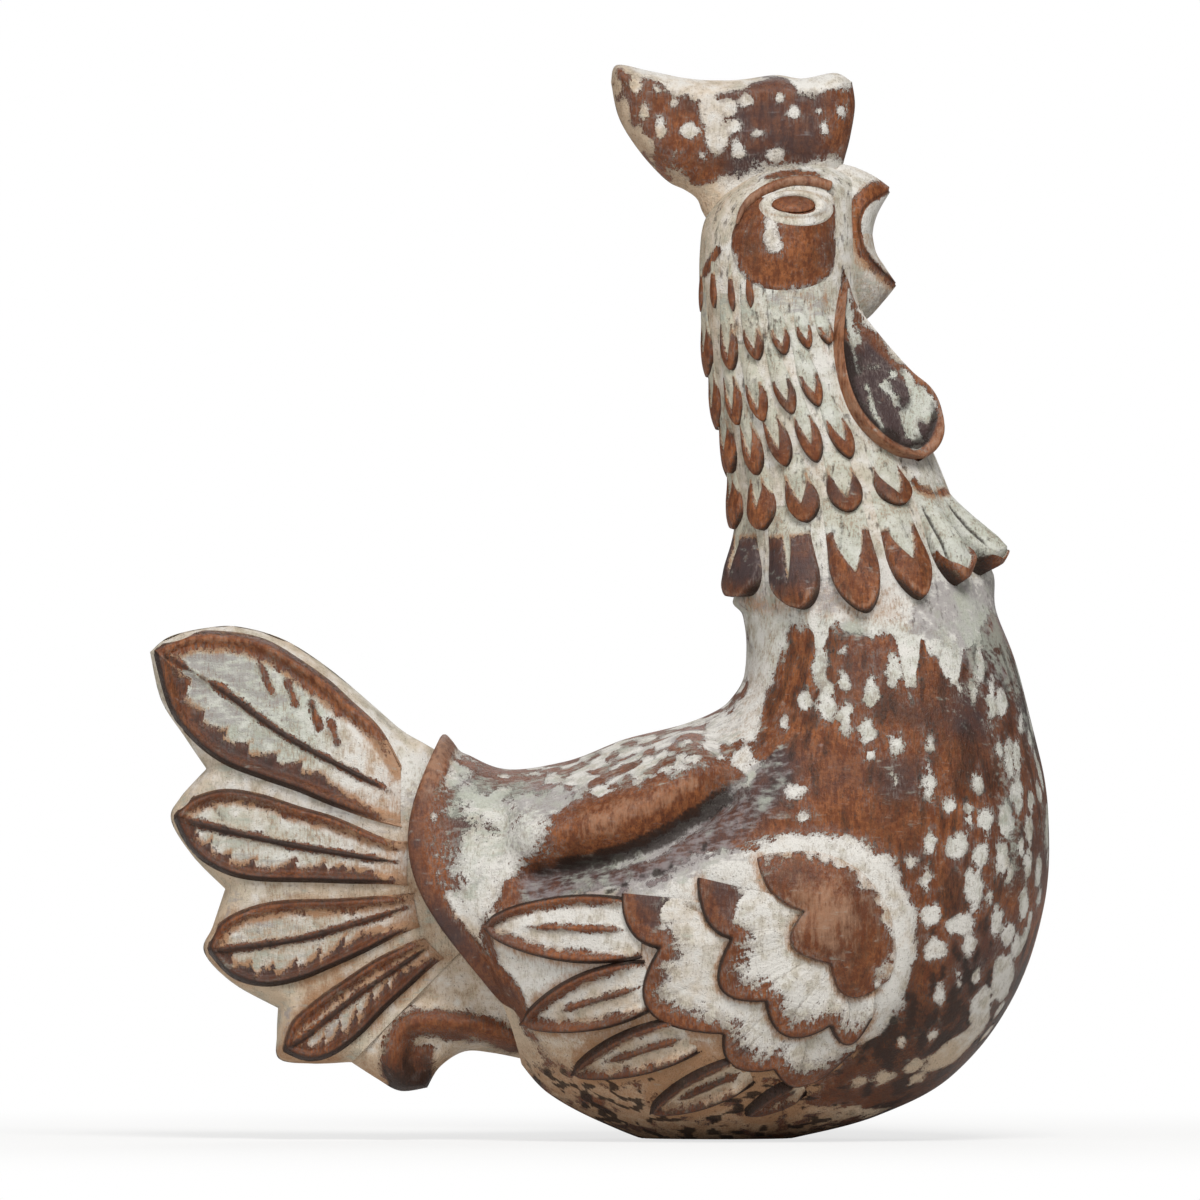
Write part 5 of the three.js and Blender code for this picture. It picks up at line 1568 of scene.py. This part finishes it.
def tail_curl():
    """The curled tuft below the fan, with a bare crest."""
    v, s = patch_grid(70, 80)
    place = patch(CURL_RIM, [], CURL_LOWER, CURL_OUTER, s, v)
    x, z = place[..., 0], place[..., 1]
    root = np.clip(half_width(0 * v, blend(*CURL_RIM, v)) - TAIL_SINK, *TAIL_ROOT)
    side = np.minimum((1 - v) * 26, (1 - s) * 40)
    crest = from_line(curve(CURL_CREST, 30), x, z)
    half = blend(root, 8.0, s) * round_over(side, 6)
    half = half + 2.4 * bell(crest, 3.4) * ease(0, 3, side) - 1.2 * bell(crest - 6, 3.0) * ease(0, 4, side)
    # its upper side runs in flush under the fan
    half = np.minimum(half, blend(fan_half(x, z) - 0.25, 99, ease(0.16, 0.34, v)))
    half = closed(x, z, half)
    wild = lumps(half, (1.3, 6, 62), (0.8, 2.5, 63))
    slip = np.minimum(crest - CREST_HALF + 0.6 * wild, -depth_inside(CURL_TIP, x, z) + 0.5 * wild)
    low = ease(24, 14, z)
    # painted shade on the bare clay, heavier towards the bottom, where it is also darker plum; dark along the
    # crest's edges
    bare_shade = (0.25 + 0.7 * ease(24, 13, z)) * ease(0.5, -1, slip)
    marks = {
        "slip": slip,
        "soot": 0.05 + 0.3 * low,
        "moss": 0.15,
        "warm": 0.4 + 0.6 * low,
        "stain": 0.35 + 0.4 * low,
        "shade": bare_shade + 0.3 * ease(1.5, 0.5, np.abs(crest - CREST_HALF)),
    }
    mirrored("tail_curl", half, "clay", marks)


tail_curl()


# Head

COMB_TOP = sketch(
    (611, 82), (617, 65), (650, 71), (692, 79), (736, 80), (775, 75), (802, 78.5), (835, 73), (852, 82),
)
COMB_FRONT = sketch((844, 161), (850, 138), (855, 106))
COMB_SEAT = [(29, 226), (40, 234), (59, 236)]
COMB_REAR = sketch((703, 213), (697, 199), (685, 190), (666, 180), (640, 152), (619, 118))
COMB_HALF = 8.5
COMB_JOINT = sketch((640, 215), (682, 194), (716, 180), (752, 168), (850, 160))

# Thickness of the slip along the comb's top (mm), at places along the sketch
COMB_BAND = [
    (614, 1.0), (650, 2.0), (676, 5.0), (706, 5.0), (730, 3.0), (758, 0.5), (786, 1.0), (800, 4.5),
    (835, 5.0), (848, 1.5),
]
# Dabs of slip on the comb's side: middle on the sketch, then half width and half height (mm)
COMB_DABS = [
    ((712, 112), (3.0, 4.6)), ((716, 138), (2.8, 4.0)), ((689, 130), (2.6, 2.1)), ((636, 88), (1.6, 2.4)),
    ((660, 126), (1.8, 3.4)), ((734, 128), (1.9, 1.8)), ((738, 148), (1.8, 2.6)), ((780, 98), (1.4, 1.4)),
    ((794, 113), (1.6, 1.6)), ((819, 112), (1.1, 1.1)), ((758, 134), (1.1, 0.9)), ((776, 156), (2.2, 1.8)),
    ((746, 102), (1.6, 1.6)), ((702, 156), (1.1, 1.1)), ((674, 104), (1.3, 1.1)), ((656, 90), (0.9, 1.1)),
    ((840, 110), (1.1, 1.9)), ((824, 128), (1.1, 2.1)), ((645, 112), (1.2, 2.0)), ((728, 108), (2.2, 2.0)),
]


def comb_marks(here, to_top, to_rear):
    """The marks on one side of the comb."""
    x, z = here[..., 0], here[..., 2]
    wild = lumps(here, (1.3, 5, 72), (0.8, 2.2, 73))
    drawn_x, thick = np.transpose(COMB_BAND)
    band = np.interp(x, (drawn_x - SKETCH_ORIGIN[0]) / SKETCH_UNITS, thick)
    joint, above, _ = beside_line(COMB_JOINT, x, z)
    layers = [
        band - to_top + wild * 0.9,
        0.4 - joint * above + wild,
        2.0 - to_rear * 0.5 + 1.9 * wild - 3 * ease(263, 267, z),
    ]
    for middle, (across, along) in COMB_DABS:
        off_x, off_z = x - sketch(middle)[0, 0], z - sketch(middle)[0, 1]
        depth = (1 - np.hypot(off_x / across, off_z / along)) * min(across, along)
        layers.append(depth * 1.6 + 0.6 * wild)
    return {
        "slip": np.max(layers, 0),
        "soot": held(0.2 + 0.9 * window(x, (29, 36), (62, 50)) * ease(-0.9, 0.0, mottle(here, 9, 74))),
        "moss": 0.1,
        "warm": held(0.9 * ease(9, 2, to_rear) + 0.15),
        "stain": 0.5 * ease(6, 1, to_rear),
        # painted shade in the crease where the comb meets the head
        "shade": 0.35 * ease(1.2, 0.2, joint) * ease(20, 34, x),
    }


def comb():
    """The upright comb, a thick blade with rounded edges."""
    v, s = patch_grid(120, 60)
    rear = joined(COMB_SEAT[:1], COMB_REAR, COMB_TOP[:1])
    front = joined(COMB_SEAT[-1:], COMB_FRONT, COMB_TOP[-1:])
    place = stretched(rear, front, through(COMB_SEAT, v), through(COMB_TOP, v), s, v)
    x, z = place[..., 0], place[..., 1]
    to_top = from_line(curve(COMB_TOP, 90)[::2], x, z)
    to_rear, to_front = (from_line(curve(edge, 60)[::3], x, z) for edge in (rear, front))
    d = np.minimum(to_top * 1.3, np.minimum(to_rear, to_front))
    half = COMB_HALF * round_over(d, 6)
    half = half + np.where(d > 1, 0.35 * mottle(side_on(x, z), 9, 71), 0)
    half = half * blend(0.62, 1, ease(236, 250, z - 0.1 * (x - 25)))
    half = closed(x, z, half)
    sides = [comb_marks(half * (1, side, 1), to_top, to_rear) for side in (1, -1)]
    mirrored("comb", half, "clay", *sides)


comb()


# A jaw's edges on the sketch from root to tip: ridge, lip and mouth; then half widths at the lip
UPPER_JAW = (
    sketch((838, 163), (856, 167.5), (874, 176), (889.5, 187)),
    sketch((859, 240), (859.5, 218), (868, 204), (888.5, 191.5)),
    sketch((872, 240), (874, 225), (879, 211), (890, 192)),
    (10.6, 10.6, 8.0, 0.9),
)
LOWER_JAW = (
    sketch((846, 330), (867, 319), (884, 301), (896, 286)),
    sketch((859.5, 232), (863, 248), (874, 264), (894.5, 283)),
    sketch((872, 232), (876, 252), (884.5, 266), (896, 283)),
    (10.6, 10.4, 7.6, 0.9),
)
JAW_RUN_OUT = 3.8
RUN_OUT = np.array([1, 0.8, 0.6, 0.4, 0.2])[:, None]


def jaw_form(ridge, lip, mouth, halves):
    """The left half of a jaw, from its ridge over the lip to the middle of the mouth, and what is outside.

    The root runs out flush on the face.
    """
    turn = np.linspace(0, np.pi / 2, 40)
    roof = np.linspace(0, 1, 12)[1:]
    outer = ridge[:, None] + (lip - ridge)[:, None] * (1 - np.cos(turn))[None, :, None]
    inner = lip[:, None] + (mouth - lip)[:, None] * (roof**0.8)[None, :, None]
    place = np.concatenate([outer, inner], 1)
    y = halves[:, None] * np.concatenate([np.sin(turn), np.sqrt(held(1 - roof**2))])
    from_lip = np.linalg.norm(place - lip[:, None], axis=-1)
    roll = 0.9 * bell(from_lip, 1.8) * ease(0, 0.3, np.linspace(0, 1, len(lip)))[:, None]
    y = y + np.where(y > 0.05, roll * np.minimum(1, y), 0)
    y[:, (0, -1)] = 0
    half = np.stack([place[..., 0], y, place[..., 1]], -1)
    root = np.repeat(half[:1], len(RUN_OUT), 0)
    root[..., 0] -= JAW_RUN_OUT * RUN_OUT
    face = on_flank(root[..., 0], root[..., 2])[0][..., 1]
    flush = blend(root[..., 1], np.maximum(face - 0.9, 0), RUN_OUT**1.3)
    root[..., 1] = np.where(root[..., 1] > 0, flush, 0)
    return np.concatenate([root, half]), np.arange(y.shape[1]) < len(turn)


def jaw(name, edges, band, soiled):
    """A jaw with a bare band along its lip, whose width goes by the share along it."""
    s = np.linspace(0, 1, 60)
    ridge, lip, mouth = (through(edge, s) for edge in edges[:3])
    half, outside = jaw_form(ridge, lip, mouth, through(np.array(edges[3])[:, None], s)[:, 0])
    wild = lumps(half, (0.9, 4, 81), (0.6, 1.8, 82))
    from_lip = from_line(lip[::2], half[..., 0], half[..., 2])
    s = np.concatenate([np.zeros(len(RUN_OUT)), s])
    past_band = from_lip - np.interp(s, (0, 0.6, 0.85, 1), band)[:, None]
    marks = {
        "slip": np.where(outside, past_band * 1.8, from_lip * 2.2 - 0.9) + 0.4 * wild,
        # plum and painted shade along the lip line
        "soot": 0.35 * ease(1.2, 0.2, from_lip),
        "shade": 0.6 * ease(1.0, 0.2, from_lip),
        "stain": (0.55 if soiled else 0.05) + 0.4 * ease(1.6, 0, past_band) * outside,
        "moss": 0.55 if soiled else 0.15,
        "wash": (0.55 if soiled else 0.0) * ease(0.8, 2.5, past_band) * outside,
        "warm": 0.1,
    }
    mirrored(name, half, "slip", marks)


jaw("beak_upper", UPPER_JAW, (3.2, 4.2, 3.0, 1.0), soiled=False)
jaw("beak_lower", LOWER_JAW, (1.9, 1.4, 1.2, 1.0), soiled=True)

CHEEK_DRAWN = sketch(
    (737, 220), (745, 206), (760, 195), (790, 189), (822, 191), (835, 199), (837, 228), (836, 262),
    (830, 277), (812, 288), (785, 293), (758, 289), (740, 276), (731, 256), (731, 236),
)
CHEEK = curve(joined(CHEEK_DRAWN, CHEEK_DRAWN[:1]), 90)[:-1]
CHEEK_DRIP = sketch((771, 226), (771, 240), (775, 250))
EYE_CENTRE = sketch((796, 210))[0]
EYE_HALF = np.array([9.9, 5.2])
BROW = sketch((739, 226), (744, 212), (756, 199), (774, 188.5), (794, 183.5), (815, 184), (830, 188))
PUPIL_CENTRE = sketch((792.5, 207.5))[0]
PUPIL_HALF = np.array([5.1, 2.2])


def cheek_height(x, z):
    """Height of the cheek over the face, and the depth inside its outline."""
    d = depth_inside(CHEEK, x, z)
    return blend(UNDER, 0.5 + 2.2 * ease(0, 11, d), ease(-0.9, 1.2, d)), d


def disc_places(centre, half, rings, sides):
    """Side-view places on rings round a centre, and their share of its half sizes."""
    turn = np.linspace(0, 2 * np.pi, sides)
    radius, angle = np.meshgrid(rings, turn, indexing="ij")
    return centre[0] + half[0] * radius * np.cos(angle), centre[1] + half[1] * radius * np.sin(angle), radius


def on_face(name, x, z, height, wrap=False, slot="clay", **marks):
    """A piece on each side of the face, at a height over it."""
    ground, out = on_flank(x, z)
    both_sides(name, ground + out * height[..., None], marks, wrap)


def cheek():
    """The raised disc round the eye."""
    middle = CHEEK.mean(0)
    edge = joined(CHEEK, CHEEK[:1])
    share = np.concatenate([[0.002], np.linspace(0.03, 1, 34), [1.03, 1.06, 1.09, 1.12]])
    place = middle + (edge - middle)[None] * share[:, None, None]
    x, z = place[..., 0], place[..., 1]
    flat = side_on(x, z)
    height, d = cheek_height(x, z)
    height = height + 0.15 * mottle(flat, 5, 91) * ease(0, 3, d)
    wild = lumps(flat, (0.8, 3, 92), (0.5, 1.3, 93))
    to_brow = from_line(curve(BROW, 20), x, z)
    above_eye = (z - EYE_CENTRE[1]) * 1.5 - 1.5 - 3 * ease(43, 39, x)
    layers = [
        0.6 - d * 1.1 + 1.2 * wild - 4 * ease(5, 1.5, to_brow) * ease(47, 42, x),
        1.5 - from_line(CHEEK_DRIP, x, z) + 0.6 * wild,
        np.minimum(above_eye, 2) + 0.5 * wild,
        -2.6 + wild,
    ]
    on_face("cheek", x, z, height, slip=np.max(layers, 0), soot=0.15, stain=0.4 * ease(2.5, 0, d))


def eye_ring():
    """The slipped ring round the pupil."""
    x, z, radius = disc_places(EYE_CENTRE, EYE_HALF, np.linspace(0.42, 1.12, 30), 96)
    base, _ = cheek_height(x, z)
    off_x, off_z = x - PUPIL_CENTRE[0], z - PUPIL_CENTRE[1]
    hole = (1 - np.hypot(off_x / PUPIL_HALF[0], off_z / PUPIL_HALF[1])) * PUPIL_HALF[1]
    edge = (1 - radius) * EYE_HALF[1]
    height = np.maximum(base, 0) + blend(-1.0, 0.25, ease(-0.5, 0.9, edge)) + 0.6 * bell(hole + 0.75, 0.5)
    height = height - 1.2 * ease(-0.25, 0.35, hole)
    wild = lumps(side_on(x, z), (1, 2.4, 95), (0.6, 1.1, 96))
    marks = {
        "slip": np.minimum(1.6 + 0.6 * wild, edge * 2.2 + 0.3 + 0.9 * wild),
        "warm": 0.2,
        "moss": 0.3,
        "stain": 0.5 * ease(0.5, 0.0, np.abs(hole + 1.3)),
        # painted shade in the dip round the pupil
        "shade": 0.5 * ease(-0.3, 0.2, hole),
    }
    on_face("eye_ring", x, z, height, wrap=True, slot="slip", **marks)


def pupil():
    """The bare, domed pupil."""
    rings = np.concatenate([[0.004], np.linspace(0.05, 1.1, 18)])
    x, z, radius = disc_places(PUPIL_CENTRE, PUPIL_HALF, rings, 64)
    base, _ = cheek_height(x, z)
    dome = 0.25 + 0.55 * np.sqrt(held(1 - radius**2)) - 1.2 * ease(0.98, 1.1, radius)
    # painted shade round the pupil's rim
    on_face("pupil", x, z, np.maximum(base, 0) + dome, slip=-3, shade=0.6 * ease(0.8, 1.0, radius))


def brow():
    """A roll of clay over the eye."""
    t = np.linspace(0, 1, 80)
    x, z = through(BROW, t).T
    ground, out = on_flank(x, z)
    base, _ = cheek_height(x, z)
    centre = ground + out * (np.maximum(base, 0) + 0.55)[:, None]
    across = np.cross(out, unit(np.gradient(centre, axis=0)))
    radius = 1.3 * ease(-0.2, 0.4, t) * np.sqrt(held(1 - np.clip((t - 0.965) / 0.035, 0, 0.96) ** 2))
    turn = np.linspace(0, 2 * np.pi, 28)
    ring = across[:, None] * np.cos(turn)[None, :, None] + out[:, None] * np.sin(turn)[None, :, None]
    places = centre[:, None] + ring * radius[:, None, None]
    # a bare roll with a painted sheen
    both_sides("brow", places, {"slip": -2.6 + 0.6 * mottle(places, 2, 97), "soot": 0.2, "painted_sheen": 0.6})


cheek()
eye_ring()
pupil()
brow()

# Wattle edges from the gape down to the lowest point
WATTLE_REAR = sketch(
    (846, 266), (838, 300), (834, 338), (836, 366), (843, 395), (855, 421), (874, 443), (893, 456),
    (907, 460.5), (917, 461.5),
)
WATTLE_FRONT = sketch(
    (848, 266), (855, 300), (880, 335), (910, 369), (930, 386), (940, 404), (943, 424), (941, 440),
    (934, 453), (921, 461),
)
WATTLE_STAND_OFF = 0.52
WATTLE_THICK = 3.4
WATTLE_SEAT = 1.6
# Patches of slip left on the wattle, drawn on the sketch, and streaks of it with their half widths (mm)
WATTLE_PATCHES = [
    sketch(
        (902, 371), (909, 376), (914, 387), (922, 389), (929, 396), (936, 406), (935, 415), (925, 422),
        (918, 420), (916, 426), (922, 435), (925, 441), (916, 441), (908, 435), (902, 423), (900, 413),
        (909, 403), (912, 396), (907, 386),
    ),
    sketch(
        (880, 386), (886, 382), (890, 386), (893, 393), (898, 401), (902, 409), (896, 406), (889, 395),
        (884, 392),
    ),
]
WATTLE_STREAKS = [
    (sketch((845, 272), (847, 300), (850, 322), (856, 344)), 1.3),
    (sketch((859, 336), (861, 344)), 1.0),
    (sketch((853, 350), (856, 372)), 0.6),
    (sketch((866, 388), (872, 408), (881, 428)), 0.7),
    (sketch((893, 374), (895, 378)), 0.7),
    (sketch((914, 448), (920, 446)), 0.7),
]
# The wattle's turned-in front edge and back: share of the way back to its root, and of its thickness inwards
WATTLE_INSIDE = [(0.0, 0.6), (0.06, 1), (0.5, 1), (1, 1)]
# How far the root reaches into the neck, in two steps (mm)
WATTLE_ROOT = (5.0, 1.6)


def wattle_marks(s, x, z, d, rim, to_front):
    """The marks on the wattle: slip in patches and streaks, plum and painted shade inside the rim, a painted
    sheen on the rim.
    """
    flat = side_on(x, z)
    wild = lumps(flat, (1.5, 6, 101), (1.0, 2.5, 102))
    layers = [-2.6 + 1.3 * wild]
    layers += [depth_inside(drawn, x, z) * 1.6 + 0.8 + 0.35 * wild for drawn in WATTLE_PATCHES]
    layers += [(wide - from_line(line, x, z)) * 1.5 + 0.6 * wild for line, wide in WATTLE_STREAKS]
    slip = np.max(layers, 0)
    slip = np.where(d < rim, np.minimum(slip, (d - rim) * 2), slip)
    top_edge = 0.5 - np.abs(to_front - 0.6) * 1.4 + 0.8 * wild - 3.2 * ease(0.25, 0.45, s)
    inner = ease(-0.3, 0.9, d - rim)
    smear = ease(-0.1, 0.4, mottle(flat * (1, 1, 0.5), 5, 105)) * ease(0.35, 0.15, s)
    brown_edge = ease(4.5, 2, to_front) * ease(0.62, 0.45, s)
    dark = ease(3.5, 0.4, d - rim) + 0.65 * ease(-0.1, 0.5, mottle(flat, 4, 104))
    return {
        "slip": np.maximum(slip, top_edge),
        "soot": 1.3 * inner * ease(-0.9, 0.1, mottle(flat, 7, 103) + 0.5) * (1 - smear) * (1 - brown_edge),
        "moss": 0.9 * inner,
        # painted sheen on the rim; painted shade next to it inside, with dark mottling
        "painted_sheen": 0.6 * (1 - inner) * ease(0.3, 0.8, d),
        "shade": held(inner * (dark - 0.6 * smear - brown_edge)),
    }


def wattle():
    """A hanging lobe, dished inside a rolled rim."""
    s = np.linspace(0, 1, 120)[:, None]
    v = np.linspace(0, 1, 72)
    rear, front = curve(WATTLE_REAR, len(s)), curve(WATTLE_FRONT, len(s))
    seat, out = on_flank(rear[:, 0], rear[:, 1])
    start = seat + out * WATTLE_SEAT
    inset = np.sin(np.pi * s)
    end_y = start[:, 1] * blend(1, WATTLE_STAND_OFF, held(inset[:, 0]) ** 0.6)
    end = np.stack([front[:, 0], end_y, front[:, 1]], 1)
    place = start[:, None] + (end - start)[:, None] * v[None, :, None]
    x, z = place[..., 0], place[..., 2]
    d = np.maximum(depth_inside(joined(rear, front[::-1])[::3], x, z), 0)
    to_rear, to_front = from_line(rear[::4], x, z), from_line(front[::4], x, z)
    front_side = ease(-1.0, 1.0, to_rear - to_front) * ease(0.75, 0.55, s)
    rim = blend(blend(1.5, 2.7, ease(0.35, 0.8, s)), 1.2, front_side)
    bulge = np.sin(np.pi * v)
    width = np.linalg.norm(end - start, axis=1)[:, None]
    relief = 2.0 * bulge * inset - 2.2 * bulge**1.5 * ease(3, 11, width) - 1.8 * (1 - held(d / 1.2)) ** 2
    relief = relief + blend(1.9, 1.0, front_side) * bell(d - rim * 0.5, rim * 0.55) * ease(0.0, 0.2, s)
    towards = unit(out * 0.6 + np.array([0.6, 0.4, 0]))[:, None]
    place = place + towards * relief[..., None]
    # it lies on the neck, never in it
    ground = on_flank(place[..., 0], place[..., 2])[0]
    off_neck = np.hypot(ground[..., 0] - place[..., 0], ground[..., 2] - place[..., 2])
    place[..., 1] += np.maximum(ground[..., 1] + 0.5 - place[..., 1], 0) * ease(4, 0.4, off_neck)
    root = [place[:, :1] - towards * depth for depth in WATTLE_ROOT]
    thick = np.array([0, WATTLE_THICK, 0])
    inside = [blend(place[:, -1:], place[:, :1], share) - thick * fall for share, fall in WATTLE_INSIDE]
    marks = wattle_marks(s, x, z, d, rim, to_front)
    turned_in = ((0, 0), (len(root), len(inside)))
    marks = {name: np.pad(values, turned_in, "edge") for name, values in marks.items()}
    marks["slip"][:, 0] = 1.0
    both_sides("wattle", np.concatenate([*root, place, *inside], 1), marks)


wattle()


# Stage, light and camera

DISTANCE = 6.0
FRAME_WIDTH = 0.300
LOOK_Z = 0.1345
SENSOR = 36
FLOOR_SIZE = 6
FLOOR_DROP = 0.0005
FLOOR_COLOUR = (0.72, 0.71, 0.69)
# The camera sees the floor glow, less so near the bird: share there, and where it starts and ends to grow (m)
FLOOR_GLOW = 0.72
GLOW_RANGE = (0.08, 0.42)
WHITE = (1, 1, 1)
ROOM_COLOUR = (0.98, 0.985, 1)
ROOM_STRENGTH = 0.205

# Lights: place, aim, size (m) and power (W)
LIGHTS = {
    "key_light": ((0.3, -1.3, 1.7), (0, 0, 0.12), 0.8, 41.5),
    "fill_light": ((-0.9, -0.9, 0.5), (0, 0, 0.12), 0.9, 4.6),
    "rim_light": ((0.1, 0.9, 0.9), (0, 0, 0.15), 0.7, 4),
}


def side_camera():
    """A far camera that looks at the bird's right side."""
    camera = bpy.data.objects.new("camera", bpy.data.cameras.new("camera"))
    bpy.context.collection.objects.link(camera)
    camera.data.sensor_width = SENSOR
    camera.data.lens = SENSOR * DISTANCE / FRAME_WIDTH
    camera.location = (0, -DISTANCE, LOOK_Z)
    camera.rotation_euler = (math.radians(90), 0, 0)
    bpy.context.scene.camera = camera


def soft_light(name, place, aim, size, watts):
    """A square light at a place, turned to its aim."""
    bpy.ops.object.select_all(action="DESELECT")
    bpy.ops.object.light_add(type="AREA", location=place)
    lamp = bpy.context.object
    lamp.name = name
    lamp.data.size = size
    lamp.data.energy = watts
    from_to = np.array(aim) - np.array(place)
    flat = math.hypot(from_to[0], from_to[1])
    lamp.rotation_euler = (math.atan2(flat, -from_to[2]), 0, math.atan2(-from_to[0], from_to[1]))


def pale_floor():
    """A floor that shows a soft shadow near the bird and is white elsewhere."""
    bpy.ops.object.select_all(action="DESELECT")
    bpy.ops.mesh.primitive_plane_add(size=FLOOR_SIZE, location=(0, 0, 0))
    floor = bpy.context.object
    floor.name = "floor"
    floor.location = (0, 0, -FLOOR_DROP)
    material = bpy.data.materials.new("pale_floor")
    f = Finish(material)
    away = f.node("VectorMath", {"operation": "LENGTH"}, f.object_place(), output="Value")
    share = f.camera_ray() * blend(FLOOR_GLOW, 1, f.step(away, *GLOW_RANGE))
    matt = f.node("BsdfDiffuse", {}, FLOOR_COLOUR)
    glow = f.node("Emission", {}, WHITE, 1)
    f.end("OutputMaterial", f.node("MixShader", {}, share, matt, glow))
    floor.data.materials.append(material)


def studio():
    """A dim room that lights the bird, white where the camera sees it."""
    world = bpy.data.worlds.new("studio")
    bpy.context.scene.world = world
    f = Finish(world)
    room = f.node("Background", {}, ROOM_COLOUR, ROOM_STRENGTH)
    backdrop = f.node("Background", {}, WHITE, 1)
    f.end("OutputWorld", f.node("MixShader", {}, f.camera_ray(), room, backdrop))


side_camera()
for name, settings in LIGHTS.items():
    soft_light(name, *settings)
pale_floor()
studio()

bpy.context.scene.view_settings.view_transform = "Standard"
